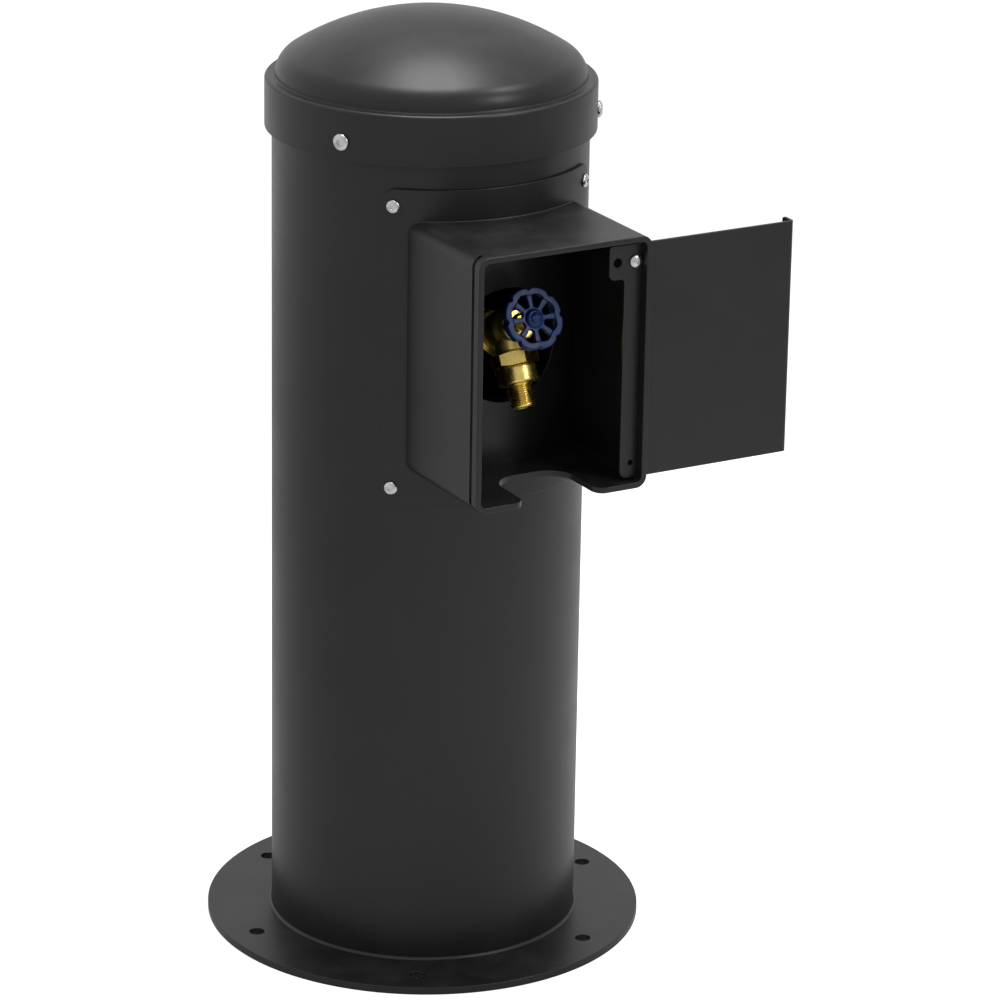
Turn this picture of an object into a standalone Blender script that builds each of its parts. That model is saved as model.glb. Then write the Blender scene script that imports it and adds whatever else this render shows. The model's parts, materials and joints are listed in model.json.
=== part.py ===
"""A locking hose-tap bollard: a round steel post on a bolted base plate, with a domed cap, a tap box
saddled to its side, a sliding door and a tilted brass hose tap fed by a riser pipe inside the post.

Metres, +Z up. The origin is the centre of the base plate's underside, and the tap box faces -Y.
"""

import math

import bmesh
import bpy
from mathutils import Matrix, Vector

GAP = 0.0003  # running clearance between pieces that touch

# Post and base
POST_RADIUS = 0.16195
POST_WALL = 0.00635
POST_TOP = 0.9090
POST_SIDES = 96
BASE_RADIUS = 0.2305
BASE_THICKNESS = 0.008
ANCHOR_CIRCLE = 0.1986
ANCHOR_HOLE = 0.016
SUPPLY_HOLE = 0.070
WELD_LEG = 0.006

# Cap: a skirt round the post, a small ledge, and a dished top
CAP_RADIUS = 0.1694
CAP_WALL = 0.0050
CAP_SIDES = 64
LEDGE_EDGE = 0.0035
SKIRT_BOTTOM = 0.8655
SKIRT_TOP = 0.9175
DOME_RADIUS = 0.1590
DOME_KNUCKLE = 0.0284
DOME_CROWN = 0.2698
CAP_SCREW_Z = 0.8846
CAP_SCREW_ANGLES = (-60, 60, 180)

# Tap box
BOX_HALF_WIDTH = 0.0975
BOX_BOTTOM = 0.5470
BOX_TOP = 0.8090
BOX_FRONT = -0.2795
BOX_WALL = 0.0060
BOX_CORNER = 0.0120
SADDLE_THICKNESS = 0.0030
SADDLE_HALF_WIDTH = 0.1152
SADDLE_BOTTOM = 0.5120
SADDLE_TOP = 0.8416
PORT_RADIUS = 0.0595
PORT_Z = 0.6768
SADDLE_SCREW_ANGLE = 41.3
SADDLE_SCREW_HEIGHTS = (0.8240, 0.5295)
NOTCH_HALF_WIDTH = 0.0410
NOTCH_BACK = -0.2045
NOTCH_CORNER = 0.0280

# Sliding door, shown fully open
SLOT_Y = -0.2677
SLOT_WIDTH = 0.0050
SLOT_DEPTH = 0.0095
DOOR_THICKNESS = 0.0030
DOOR_BOTTOM = 0.5555
DOOR_TOP = 0.7990
DOOR_EDGE = 0.0720
DOOR_FLANGE = 0.0190
DOOR_BEND = 0.0050
TAB_END = 0.0546
TAB_BOTTOM = 0.7640
TAB_CORNER = 0.0070
PADLOCK_HOLE_X = 0.0640
PADLOCK_HOLE_Z = 0.7815
PADLOCK_HOLE_RADIUS = 0.00475
STOP_HEAD_RADIUS = 0.00695
STOP_X = BOX_HALF_WIDTH - BOX_WALL - STOP_HEAD_RADIUS - GAP
STOP_Z = 0.7813
SPARE_HOLE_Z = 0.5712
DOOR_TRAVEL = 2 * STOP_X
DOOR_END = BOX_HALF_WIDTH + GAP + DOOR_TRAVEL + DOOR_THICKNESS

# Tap: distances along the stem and along the outlet are measured from the valve's centre
TAP_TILT = math.radians(26)
TAP_CENTRE = Vector((0, -0.1644, 0.6933))
STEM_AXIS = Vector((0, -math.cos(TAP_TILT), math.sin(TAP_TILT)))
OUTLET_AXIS = Vector((0, -math.sin(TAP_TILT), -math.cos(TAP_TILT)))
STEM_RADIUS = 0.0048
SEAT_AT = -0.0145
CHAMBER_RADIUS = 0.0135
BARREL_END = 0.0200
WHEEL_AT = 0.0563
WHEEL_RADIUS = 0.0315
WHEEL_LOBES = 8
WHEEL_THICKNESS = 0.0080
HOSE_THREAD_RADIUS = 0.0133
WATERWAY_RADIUS = 0.0080

# Supply pipe inside the post
PIPE_RADIUS = 0.01335
PIPE_BORE = 0.0105
FITTING_RADIUS = 0.0178
INLET_HEIGHT = TAP_CENTRE.z - 0.0118
RISER_Y = -0.0670


# Scene, collections and materials


def clear_scene():
    for thing in list(bpy.data.objects):
        bpy.data.objects.remove(thing, do_unlink=True)


def new_collection(name):
    made = bpy.data.collections.new(name)
    bpy.context.scene.collection.children.link(made)
    return made


clear_scene()
PARTS = new_collection("hose_tap_bollard")
CUTTERS = new_collection("cutters")


def material(name, colour, roughness, metallic):
    made = bpy.data.materials.new(name)
    made.use_nodes = True
    shader = made.node_tree.nodes["Principled BSDF"]
    shader.inputs["Base Color"].default_value = (*colour, 1)
    shader.inputs["Roughness"].default_value = roughness
    shader.inputs["Metallic"].default_value = metallic
    return made


BLACK_COAT = material("black_powder_coat", (0.012, 0.012, 0.013), 0.45, 0.0)
STAINLESS = material("stainless_steel", (0.62, 0.62, 0.64), 0.28, 1.0)
BRASS = material("brass", (0.62, 0.47, 0.16), 0.30, 1.0)
BLUE_ENAMEL = material("blue_enamel", (0.010, 0.035, 0.190), 0.35, 0.0)
RUBBER = material("black_rubber", (0.020, 0.020, 0.020), 0.80, 0.0)
GALVANISED = material("galvanised_steel", (0.45, 0.47, 0.49), 0.45, 1.0)
ACETAL = material("white_acetal", (0.75, 0.75, 0.72), 0.45, 0.0)


# Making and placing


def add_object(name, mesh, finish=None, place=None):
    """A part when it has a finish, and otherwise a cutter or a piece that a union takes in."""
    made = bpy.data.objects.new(name, mesh)
    if finish is None:
        CUTTERS.objects.link(made)
        made.hide_render = True
        made.display_type = "WIRE"
    else:
        PARTS.objects.link(made)
        mesh.materials.append(finish)
    if place is not None:
        made.matrix_world = place
    return made


def frame_along(origin, direction, turn=0.0):
    """A frame whose Z runs along the direction, turned about it by an angle in radians."""
    rotation = Vector(direction).to_track_quat("Z", "Y").to_matrix().to_4x4()
    return Matrix.Translation(origin) @ rotation @ Matrix.Rotation(turn, 4, "Z")


def polar(radius, angle, z):
    """A point round the post. The angle is in degrees from the box's direction, growing to +X."""
    turn = math.radians(angle)
    return Vector((radius * math.sin(turn), -radius * math.cos(turn), z))


def outward(angle):
    return polar(1.0, angle, 0.0)


def arc(centre, radius, start, end, steps):
    """Points on an arc, from one angle to another in degrees, both ends included."""
    turns = (math.radians(start + (end - start) * i / steps) for i in range(steps + 1))
    return [(centre[0] + radius * math.cos(t), centre[1] + radius * math.sin(t)) for t in turns]


def rounded_rectangle(left, right, bottom, top, radius, steps=5):
    corners = (
        ((right - radius, top - radius), 0),
        ((left + radius, top - radius), 90),
        ((left + radius, bottom + radius), 180),
        ((right - radius, bottom + radius), 270),
    )
    return [point for centre, start in corners for point in arc(centre, radius, start, start + 90, steps)]


def turned(name, profile, finish=None, place=None, sides=32, ring=False):
    """A turned solid from (radius, height) points that run down the outer side, top to bottom."""
    mesh = bpy.data.meshes.new(name)
    count = len(profile)
    edges = [(i, i + 1) for i in range(count - 1)]
    if ring:
        edges.append((count - 1, 0))
    mesh.from_pydata([(radius, 0, height) for radius, height in profile], edges, [])
    made = add_object(name, mesh, finish, place)
    screw = made.modifiers.new("turn", "SCREW")
    screw.axis = "Z"
    screw.steps = sides
    screw.render_steps = sides
    screw.use_merge_vertices = True
    screw.merge_threshold = 0.00005
    return made


def rod(name, radius, start, end, finish=None, place=None, sides=24, bore=None):
    """A cylinder from one height to another along its frame's Z, with a bore through it if one is given."""
    if bore is None:
        return turned(name, [(0, end), (radius, end), (radius, start), (0, start)], finish, place, sides)
    profile = [(bore, end), (radius, end), (radius, start), (bore, start)]
    return turned(name, profile, finish, place, sides, ring=True)


def plate(name, outlines, thickness, finish=None, place=None):
    """A flat plate, centred on its frame's XY plane, from an outer outline and those of its holes."""
    curve = bpy.data.curves.new(name, "CURVE")
    curve.dimensions = "2D"
    curve.fill_mode = "BOTH"
    curve.extrude = thickness / 2
    for outline in outlines:
        spline = curve.splines.new("POLY")
        spline.points.add(len(outline) - 1)
        for point, (x, y) in zip(spline.points, outline):
            point.co = (x, y, 0, 1)
        spline.use_cyclic_u = True
    flat = bpy.data.objects.new(name + "_outline", curve)
    CUTTERS.objects.link(flat)
    made = add_object(name, solid_mesh(flat, name), finish, place)
    bpy.data.objects.remove(flat)
    return made


def solid_mesh(source, name):
    """The object's evaluated mesh as a new mesh, with any loose caps welded on."""
    bpy.context.view_layer.update()
    graph = bpy.context.evaluated_depsgraph_get()
    mesh = bpy.data.meshes.new_from_object(source.evaluated_get(graph), depsgraph=graph)
    mesh.name = name
    mesh.materials.clear()
    work = bmesh.new()
    work.from_mesh(mesh)
    bmesh.ops.remove_doubles(work, verts=work.verts, dist=0.000005)
    bmesh.ops.recalc_face_normals(work, faces=work.faces)
    work.to_mesh(mesh)
    work.free()
    return mesh


def bent_rod(name, route, radius, finish=None, resolution=3):
    """A round bar that follows the points of a route."""
    curve = bpy.data.curves.new(name, "CURVE")
    curve.dimensions = "3D"
    curve.bevel_depth = radius
    curve.bevel_resolution = resolution
    curve.use_fill_caps = True
    spline = curve.splines.new("POLY")
    spline.points.add(len(route) - 1)
    for point, place in zip(spline.points, route):
        point.co = (*place, 1)
    line = bpy.data.objects.new(name + "_line", curve)
    CUTTERS.objects.link(line)
    made = add_object(name, solid_mesh(line, name), finish)
    bpy.data.objects.remove(line)
    return made


def box(name, low, high, finish=None):
    mesh = bpy.data.meshes.new(name)
    work = bmesh.new()
    bmesh.ops.create_cube(work, size=1)
    size = [b - a for a, b in zip(low, high)]
    middle = [(a + b) / 2 for a, b in zip(low, high)]
    bmesh.ops.scale(work, vec=size, verts=work.verts)
    bmesh.ops.translate(work, vec=middle, verts=work.verts)
    work.to_mesh(mesh)
    work.free()
    return add_object(name, mesh, finish)


def hexagon(name, across_corners, start, end, finish=None, place=None):
    return rod(name, across_corners, start, end, finish, place, sides=6)


def combine(target, operation, others):
    for other in others:
        boolean = target.modifiers.new(operation.lower() + "_" + other.name[:40], "BOOLEAN")
        boolean.operation = operation
        boolean.object = other
        boolean.solver = "EXACT"
    return target


def cut(target, *cutters):
    return combine(target, "DIFFERENCE", cutters)


def join(target, *others):
    return combine(target, "UNION", others)


def copies(mesh, finish, names_and_places):
    """Separate objects that share one mesh, each at its own place."""
    mesh.materials.append(finish)
    for name, place in names_and_places:
        made = bpy.data.objects.new(name, mesh)
        PARTS.objects.link(made)
        made.matrix_world = place


def shade(target, angle=35):
    target.data.shade_smooth()
    target.data.set_sharp_from_angle(angle=math.radians(angle))


# Post


def make_base_plate():
    """The bolted disc, with a hole for the supply pipe in front of its solid centre."""
    circle = [arc((0, 0), BASE_RADIUS, 0, 360 - 3.75, 95)]
    for angle in (30, 90, 150, 210, 270, 330):
        spot = polar(ANCHOR_CIRCLE, angle, 0)
        circle.append(arc((spot.x, spot.y), ANCHOR_HOLE / 2, 0, 360 - 22.5, 15))
    circle.append(arc((0, RISER_Y), SUPPLY_HOLE / 2, 0, 360 - 15, 23))
    place = Matrix.Translation((0, 0, BASE_THICKNESS / 2))
    return plate("base_plate", circle, BASE_THICKNESS, BLACK_COAT, place)


def make_base_weld():
    inner = POST_RADIUS + GAP
    foot = BASE_THICKNESS + GAP
    profile = [(inner, foot + WELD_LEG), (inner + WELD_LEG * 0.4, foot + WELD_LEG * 0.4)]
    profile += [(inner + WELD_LEG, foot), (inner, foot)]
    return turned("base_weld", profile, BLACK_COAT, sides=POST_SIDES, ring=True)


def radial_hole(name, radius, angle, height):
    place = frame_along(polar(POST_RADIUS, angle, height), outward(angle))
    return rod(name, radius, -0.030, 0.030, place=place, sides=16)


def make_post(port):
    profile = [(POST_RADIUS - POST_WALL, POST_TOP), (POST_RADIUS, POST_TOP)]
    profile += [(POST_RADIUS, BASE_THICKNESS + GAP), (POST_RADIUS - POST_WALL, BASE_THICKNESS + GAP)]
    post = turned("post_tube", profile, BLACK_COAT, sides=POST_SIDES, ring=True)
    cut(post, port)
    for angle, height in SADDLE_SCREWS:
        cut(post, radial_hole(f"post_hole_{angle}_{height}", NUT_BARREL + GAP, angle, height))
    for angle in CAP_SCREW_ANGLES:
        cut(post, radial_hole(f"post_cap_hole_{angle}", NUT_BARREL + GAP, angle, CAP_SCREW_Z))
    return post


# Cap


def dome_points(inset, crown_steps, knuckle_steps):
    """A dished head from its top outwards: a shallow crown that turns down through a tight knuckle."""
    knuckle_centre = (DOME_RADIUS - DOME_KNUCKLE, SKIRT_TOP)
    reach = DOME_CROWN - DOME_KNUCKLE
    tangent = math.degrees(math.acos(knuckle_centre[0] / reach))
    crown_centre = (0, SKIRT_TOP - reach * math.sin(math.radians(tangent)))
    crown = arc(crown_centre, DOME_CROWN - inset, 90, tangent, crown_steps)
    knuckle = arc(knuckle_centre, DOME_KNUCKLE - inset, tangent, 0, knuckle_steps)
    return [(0, crown[0][1])] + crown[1:] + knuckle[1:]


def make_cap():
    ledge = arc((CAP_RADIUS - LEDGE_EDGE, SKIRT_TOP - LEDGE_EDGE), LEDGE_EDGE, 90, 0, 3)
    skirt = [(CAP_RADIUS, SKIRT_BOTTOM), (CAP_RADIUS - CAP_WALL, SKIRT_BOTTOM)]
    shoulder = [(CAP_RADIUS - CAP_WALL, POST_TOP + GAP), (DOME_RADIUS - CAP_WALL, POST_TOP + GAP)]
    inside = dome_points(CAP_WALL, 4, 3)[::-1]
    profile = dome_points(0, 6, 4) + ledge + skirt + shoulder + inside
    cap = turned("cap", profile, BLACK_COAT, sides=CAP_SIDES)
    for angle in CAP_SCREW_ANGLES:
        cut(cap, radial_hole(f"cap_hole_{angle}", CAP_SHANK + 0.0006, angle, CAP_SCREW_Z))
    return cap


# Screws and rivet nuts


NUT_BARREL = 0.0062
NUT_FLANGE = 0.0092
CAP_HEAD_RADIUS = 0.00875
CAP_HEAD_HEIGHT = 0.0048
CAP_SHANK = 0.0047
CAP_SCREW_LENGTH = 0.028
CAP_SOCKET = 0.0032
BOX_HEAD_RADIUS = 0.00695
BOX_HEAD_HEIGHT = 0.0040
SADDLE_SHANK = 0.0039
BOX_SCREW_LENGTH = 0.022
BOX_SOCKET = 0.0026
SADDLE_SCREWS = [(side * SADDLE_SCREW_ANGLE, z) for z in SADDLE_SCREW_HEIGHTS for side in (-1, 1)]


def button_screw(name, head_radius, head_height, shank_radius, length, socket):
    """A button-head screw with a hex socket, its head's underside at height 0 and its shank below."""
    profile = [(0, head_height)]
    dome = ((0.55, 1.0), (0.80, 0.80), (0.95, 0.48), (1, 0.18))
    profile += [(head_radius * reach, head_height * rise) for reach, rise in dome]
    profile += [(head_radius, 0), (shank_radius, 0), (shank_radius, -length), (0, -length)]
    screw = turned(name, profile, sides=16)
    cut(screw, hexagon(name + "_socket", socket, head_height * 0.35, head_height + 0.002))
    return screw


def nut_insert(name, shank_radius, inside_end):
    """A rivet nut set in the post's wall: a barrel with a flange behind it, bored for its screw."""
    bore = shank_radius + GAP
    flange_top = -POST_WALL - GAP
    profile = [(bore, -GAP), (NUT_BARREL, -GAP), (NUT_BARREL, flange_top)]
    profile += [(NUT_FLANGE, flange_top), (NUT_FLANGE, flange_top - 0.0020)]
    profile += [(NUT_BARREL, flange_top - 0.0035), (NUT_BARREL, inside_end), (bore, inside_end)]
    return turned(name, profile, sides=14, ring=True)


def make_fasteners():
    head = (CAP_HEAD_RADIUS, CAP_HEAD_HEIGHT)
    form = button_screw("cap_screw_form", *head, CAP_SHANK, CAP_SCREW_LENGTH, CAP_SOCKET)
    screw = solid_mesh(form, "cap_screw")
    seat = CAP_RADIUS + GAP
    places = [frame_along(polar(seat, a, CAP_SCREW_Z), outward(a)) for a in CAP_SCREW_ANGLES]
    copies(screw, STAINLESS, [(f"cap_screw_{i + 1}", place) for i, place in enumerate(places)])
    nut = solid_mesh(nut_insert("cap_nut_form", CAP_SHANK, -0.020), "cap_nut")
    places = [frame_along(polar(POST_RADIUS, a, CAP_SCREW_Z), outward(a)) for a in CAP_SCREW_ANGLES]
    copies(nut, GALVANISED, [(f"cap_nut_{i + 1}", place) for i, place in enumerate(places)])

    head = (BOX_HEAD_RADIUS, BOX_HEAD_HEIGHT)
    form = button_screw("box_screw_form", *head, SADDLE_SHANK, BOX_SCREW_LENGTH, BOX_SOCKET)
    screw = solid_mesh(form, "box_screw")
    seat = POST_RADIUS + SADDLE_THICKNESS + 2 * GAP
    places = [frame_along(polar(seat, a, z), outward(a)) for a, z in SADDLE_SCREWS]
    copies(screw, STAINLESS, [(f"box_screw_{i + 1}", place) for i, place in enumerate(places)])
    nut = solid_mesh(nut_insert("box_nut_form", SADDLE_SHANK, -0.018), "box_nut")
    places = [frame_along(polar(POST_RADIUS, a, z), outward(a)) for a, z in SADDLE_SCREWS]
    copies(nut, GALVANISED, [(f"box_nut_{i + 1}", place) for i, place in enumerate(places)])


# Tap box


FACING_BOX = Matrix.Rotation(math.pi / 2, 4, "X")  # a plate drawn in (x, z), with its thickness along Y


def upright(y):
    return Matrix.Translation((0, y, 0)) @ FACING_BOX


def make_port():
    place = frame_along((0, -0.150, PORT_Z), (0, -1, 0))
    return rod("port_cutter", PORT_RADIUS, -0.060, 0.060, place=place, sides=48)


def make_box(port):
    """A welded box: a saddle plate that hugs the post, and four walls that run forward from it."""
    saddle_inner = POST_RADIUS + GAP
    saddle_outer = saddle_inner + SADDLE_THICKNESS
    profile = [(saddle_inner, SADDLE_TOP + 0.01), (saddle_outer, SADDLE_TOP + 0.01)]
    profile += [(saddle_outer, SADDLE_BOTTOM - 0.01), (saddle_inner, SADDLE_BOTTOM - 0.01)]
    tap_box = turned("tap_box", profile, BLACK_COAT, sides=POST_SIDES, ring=True)
    outline = rounded_rectangle(-SADDLE_HALF_WIDTH, SADDLE_HALF_WIDTH, SADDLE_BOTTOM, SADDLE_TOP, 0.012)
    combine(tap_box, "INTERSECT", [plate("saddle_outline", [outline], 0.200, place=upright(-0.160))])

    outer = rounded_rectangle(-BOX_HALF_WIDTH, BOX_HALF_WIDTH, BOX_BOTTOM, BOX_TOP, BOX_CORNER)
    half = BOX_HALF_WIDTH - BOX_WALL
    inner = rounded_rectangle(-half, half, BOX_BOTTOM + BOX_WALL, BOX_TOP - BOX_WALL, BOX_CORNER - BOX_WALL)
    back = -0.100
    walls = plate("box_walls", [outer, inner], back - BOX_FRONT, place=upright((BOX_FRONT + back) / 2))
    middle = saddle_inner + SADDLE_THICKNESS / 2
    cut(walls, rod("walls_back", middle, 0.45, 0.90, sides=POST_SIDES))
    join(tap_box, walls)

    cut(tap_box, port)
    for angle, height in SADDLE_SCREWS:
        cut(tap_box, radial_hole(f"saddle_hole_{angle}_{height}", SADDLE_SHANK + 0.0006, angle, height))
    for side in (-1, 1):
        near, far = sorted((side * (BOX_HALF_WIDTH - SLOT_DEPTH), side * (BOX_HALF_WIDTH + 0.010)))
        low = (near, SLOT_Y - SLOT_WIDTH / 2, DOOR_BOTTOM - 0.0005)
        cut(tap_box, box(f"slot_{side}", low, (far, SLOT_Y + SLOT_WIDTH / 2, BOX_TOP + 0.010)))
    notch = arc((NOTCH_HALF_WIDTH - NOTCH_CORNER, NOTCH_BACK - NOTCH_CORNER), NOTCH_CORNER, 0, 90, 6)
    notch += arc((NOTCH_CORNER - NOTCH_HALF_WIDTH, NOTCH_BACK - NOTCH_CORNER), NOTCH_CORNER, 90, 180, 6)
    notch += [(-NOTCH_HALF_WIDTH, BOX_FRONT - 0.010), (NOTCH_HALF_WIDTH, BOX_FRONT - 0.010)]
    place = Matrix.Translation((0, 0, BOX_BOTTOM + BOX_WALL / 2))
    cut(tap_box, plate("hose_notch", [notch], 3 * BOX_WALL, place=place))
    return tap_box


# Door


def make_door():
    """A sheet panel with a padlock tab at its leading end and a pull flange folded back at the other."""
    front = SLOT_Y - DOOR_THICKNESS / 2
    back = SLOT_Y + DOOR_THICKNESS / 2
    outside = DOOR_END
    bend = (outside - DOOR_BEND, front + DOOR_BEND)
    sheet = [(TAB_END, front)] + arc(bend, DOOR_BEND, 270, 360, 6)
    sheet += [(outside, front + DOOR_FLANGE), (outside - DOOR_THICKNESS, front + DOOR_FLANGE)]
    sheet += arc(bend, DOOR_BEND - DOOR_THICKNESS, 360, 270, 6) + [(TAB_END, back)]
    height = DOOR_TOP - DOOR_BOTTOM
    place = Matrix.Translation((0, 0, (DOOR_TOP + DOOR_BOTTOM) / 2))
    door = plate("door", [sheet], height, BLACK_COAT, place)

    away = TAB_END - 0.020
    relief = [(away, TAB_BOTTOM), (TAB_END, TAB_BOTTOM + TAB_CORNER)]
    relief += arc((TAB_END + TAB_CORNER, TAB_BOTTOM + TAB_CORNER), TAB_CORNER, 180, 270, 4)[1:]
    inside = (DOOR_EDGE - 0.005, TAB_BOTTOM - 0.005)
    relief += arc(inside, 0.005, 90, 0, 4) + [(DOOR_EDGE, DOOR_BOTTOM - 0.010), (away, DOOR_BOTTOM - 0.010)]
    cut(door, plate("tab_relief", [relief], 0.020, place=upright(SLOT_Y)))
    holes = ((PADLOCK_HOLE_X, PADLOCK_HOLE_Z, PADLOCK_HOLE_RADIUS), (STOP_X, STOP_Z, 0.0034))
    for x, z, radius in holes + ((STOP_X, SPARE_HOLE_Z, 0.0030),):
        place = frame_along((x, SLOT_Y, z), (0, -1, 0))
        cut(door, rod(f"door_hole_{z}", radius, -0.010, 0.010, place=place, sides=20))
    return door


def make_door_stop():
    place = frame_along((STOP_X, SLOT_Y - DOOR_THICKNESS / 2 - GAP, STOP_Z), (0, -1, 0))
    form = button_screw("stop_screw_form", STOP_HEAD_RADIUS, 0.0038, 0.0030, 0.0105, 0.0024)
    copies(solid_mesh(form, "door_stop_screw"), STAINLESS, [("door_stop_screw", place)])
    behind = -DOOR_THICKNESS - 2 * GAP
    nut = hexagon("door_stop_nut", 0.0060, behind - 0.0050, behind, STAINLESS, place)
    cut(nut, rod("stop_nut_bore", 0.0030 + GAP, -0.020, 0.0, place=place, sides=20))


# Tap


STEM_FRAME = frame_along(TAP_CENTRE, STEM_AXIS)
OUTLET_FRAME = frame_along(TAP_CENTRE, OUTLET_AXIS)
INLET_FRAME = frame_along((0, TAP_CENTRE.y + 0.0243, INLET_HEIGHT), (0, 1, 0))


def make_tap_body():
    """A cast body: a barrel along the stem, an outlet neck square to it and a level inlet behind."""
    barrel = [(0, BARREL_END), (0.0155, BARREL_END), (0.0165, 0.0120), (0.0205, 0.0060), (0.0222, -0.0040)]
    barrel += [(0.0212, -0.0150), (0.0195, -0.0200), (0.0240, -0.0215), (0.0240, -0.0270), (0.0190, -0.0290)]
    barrel += [(0.0165, -0.0330), (0.0, -0.0350)]
    body = turned("tap_body", barrel, BRASS, STEM_FRAME, sides=28)
    neck = [(0, 0.0360), (HOSE_THREAD_RADIUS, 0.0360), (HOSE_THREAD_RADIUS, 0.0215), (0.0165, 0.0190)]
    neck += [(0.0185, 0.0050), (0, 0.0)]
    join(body, turned("tap_neck", neck, place=OUTLET_FRAME, sides=24))
    inlet = rod("tap_inlet", 0.0165, -0.0020, 0.0220, place=INLET_FRAME, sides=24)
    socket = hexagon("tap_inlet_hex", 0.0200, 0.0120, 0.0280, place=INLET_FRAME)
    join(body, inlet, socket)
    cut(body, rod("tap_chamber", CHAMBER_RADIUS, SEAT_AT, BARREL_END + 0.01, place=STEM_FRAME))
    cut(body, rod("tap_seat_bore", WATERWAY_RADIUS, -0.0300, 0.0, place=STEM_FRAME))
    cut(body, rod("tap_outlet_bore", WATERWAY_RADIUS, 0.0, 0.0500, place=OUTLET_FRAME))
    cut(body, rod("tap_inlet_bore", WATERWAY_RADIUS, 0.0, 0.0400, place=INLET_FRAME))
    cut(body, rod("tap_inlet_socket", PIPE_RADIUS + GAP, 0.0120, 0.0400, place=INLET_FRAME))
    return body


def make_stem_parts():
    """The rising stem with its washer, its packing and the nut that holds the packing down."""
    washer_top = SEAT_AT + GAP + 0.0040
    washer = rod("seat_washer", 0.0100, SEAT_AT + GAP, washer_top, RUBBER, STEM_FRAME, bore=0.0030)
    shade(washer)
    top, foot, reach = SEAT_AT - 0.0005, SEAT_AT - 0.0030, 0.0045
    profile = [(0, top), (reach, top), (reach, foot), (0, foot)]
    head = turned("washer_screw", profile, BRASS, STEM_FRAME, sides=20)
    start, end = SEAT_AT - 0.0015, washer_top + 0.0080
    join(head, rod("washer_screw_shank", 0.0025, start, end, place=STEM_FRAME, sides=20))

    top = WHEEL_AT + 0.0060
    stem = [(0, top), (STEM_RADIUS, top), (STEM_RADIUS, 0.0078), (0.0075, 0.0062), (0.0075, -0.0010)]
    stem += [(STEM_RADIUS, -0.0030), (0.0090, washer_top + 0.0040)]
    stem += [(0.0090, washer_top + GAP), (0, washer_top + GAP)]
    stem = turned("valve_stem", stem, BRASS, STEM_FRAME, sides=28)
    cut(stem, rod("stem_top_hole", 0.0026, top - 0.0120, top + 0.01, place=STEM_FRAME, sides=20))
    cut(stem, rod("stem_foot_hole", 0.0029, -0.020, washer_top + 0.0090, place=STEM_FRAME, sides=20))

    bore = STEM_RADIUS + GAP
    rod("stem_packing", CHAMBER_RADIUS - GAP, 0.0160, BARREL_END - GAP, RUBBER, STEM_FRAME, bore=bore)
    start = BARREL_END + GAP
    nut = hexagon("packing_nut", 0.0168, start, start + 0.0100, BRASS, STEM_FRAME)
    collar = [(0, start + 0.0150), (0.0085, start + 0.0145)]
    collar += [(0.0098, start + 0.0120), (0.0115, start + 0.0090)]
    join(nut, turned("packing_nut_collar", collar + [(0, start + 0.0090)], place=STEM_FRAME))
    cut(nut, rod("packing_nut_bore", bore, 0.0, 0.050, place=STEM_FRAME))


def wheel_outline(inner, outer, steps=8):
    """The scalloped rim: straight-sided lobes with a shallow dip between one and the next."""
    points = []
    for i in range(WHEEL_LOBES * steps):
        turn = 2 * math.pi * i / (WHEEL_LOBES * steps)
        wave = abs(math.sin(WHEEL_LOBES * turn / 2)) ** 0.7
        reach = inner + (outer - inner) * wave
        points.append((reach * math.cos(turn), reach * math.sin(turn)))
    return points


def wheel_window(lobe):
    """A window between two spokes: wide at the rim and narrow at the hub."""
    middle = (lobe + 0.5) * 2 * math.pi / WHEEL_LOBES
    corners = ((0.0118, -14), (0.0118, 14), (0.0248, 15), (0.0262, 0), (0.0248, -15))
    return [
        (r * math.cos(middle + math.radians(a)), r * math.sin(middle + math.radians(a))) for r, a in corners
    ]


def make_handwheel():
    place = frame_along(TAP_CENTRE + STEM_AXIS * WHEEL_AT, STEM_AXIS)
    outlines = [wheel_outline(0.0285, WHEEL_RADIUS + 0.0010)] + [wheel_window(i) for i in range(WHEEL_LOBES)]
    wheel = plate("handwheel", outlines, WHEEL_THICKNESS, BLUE_ENAMEL, place)
    hub = [(0, 0.0070), (0.0075, 0.0070), (0.0095, 0.0050), (0.0095, -0.0060), (0, -0.0060)]
    join(wheel, turned("wheel_hub", hub, place=place, sides=24))
    cut(wheel, rod("wheel_bore", STEM_RADIUS + GAP, -0.020, 0.020, place=place, sides=28))

    head = WHEEL_AT + 0.0070 + GAP
    profile = [(0, head + 0.0032), (0.0030, head + 0.0030), (0.0052, head + 0.0015), (0.0058, head)]
    profile += [(0.0021, head), (0.0021, WHEEL_AT - 0.0040), (0, WHEEL_AT - 0.0040)]
    screw = turned("handle_screw", profile, STAINLESS, STEM_FRAME, sides=24)
    place = STEM_FRAME @ Matrix.Translation((0, 0, head + 0.0030))
    outline = [(-0.007, -0.0006), (0.007, -0.0006), (0.007, 0.0006), (-0.007, 0.0006)]
    slot = plate("handle_screw_slot", [outline], 0.0026)
    slot.matrix_world = place
    cut(screw, slot)


# Vacuum breaker on the tap's outlet


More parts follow.
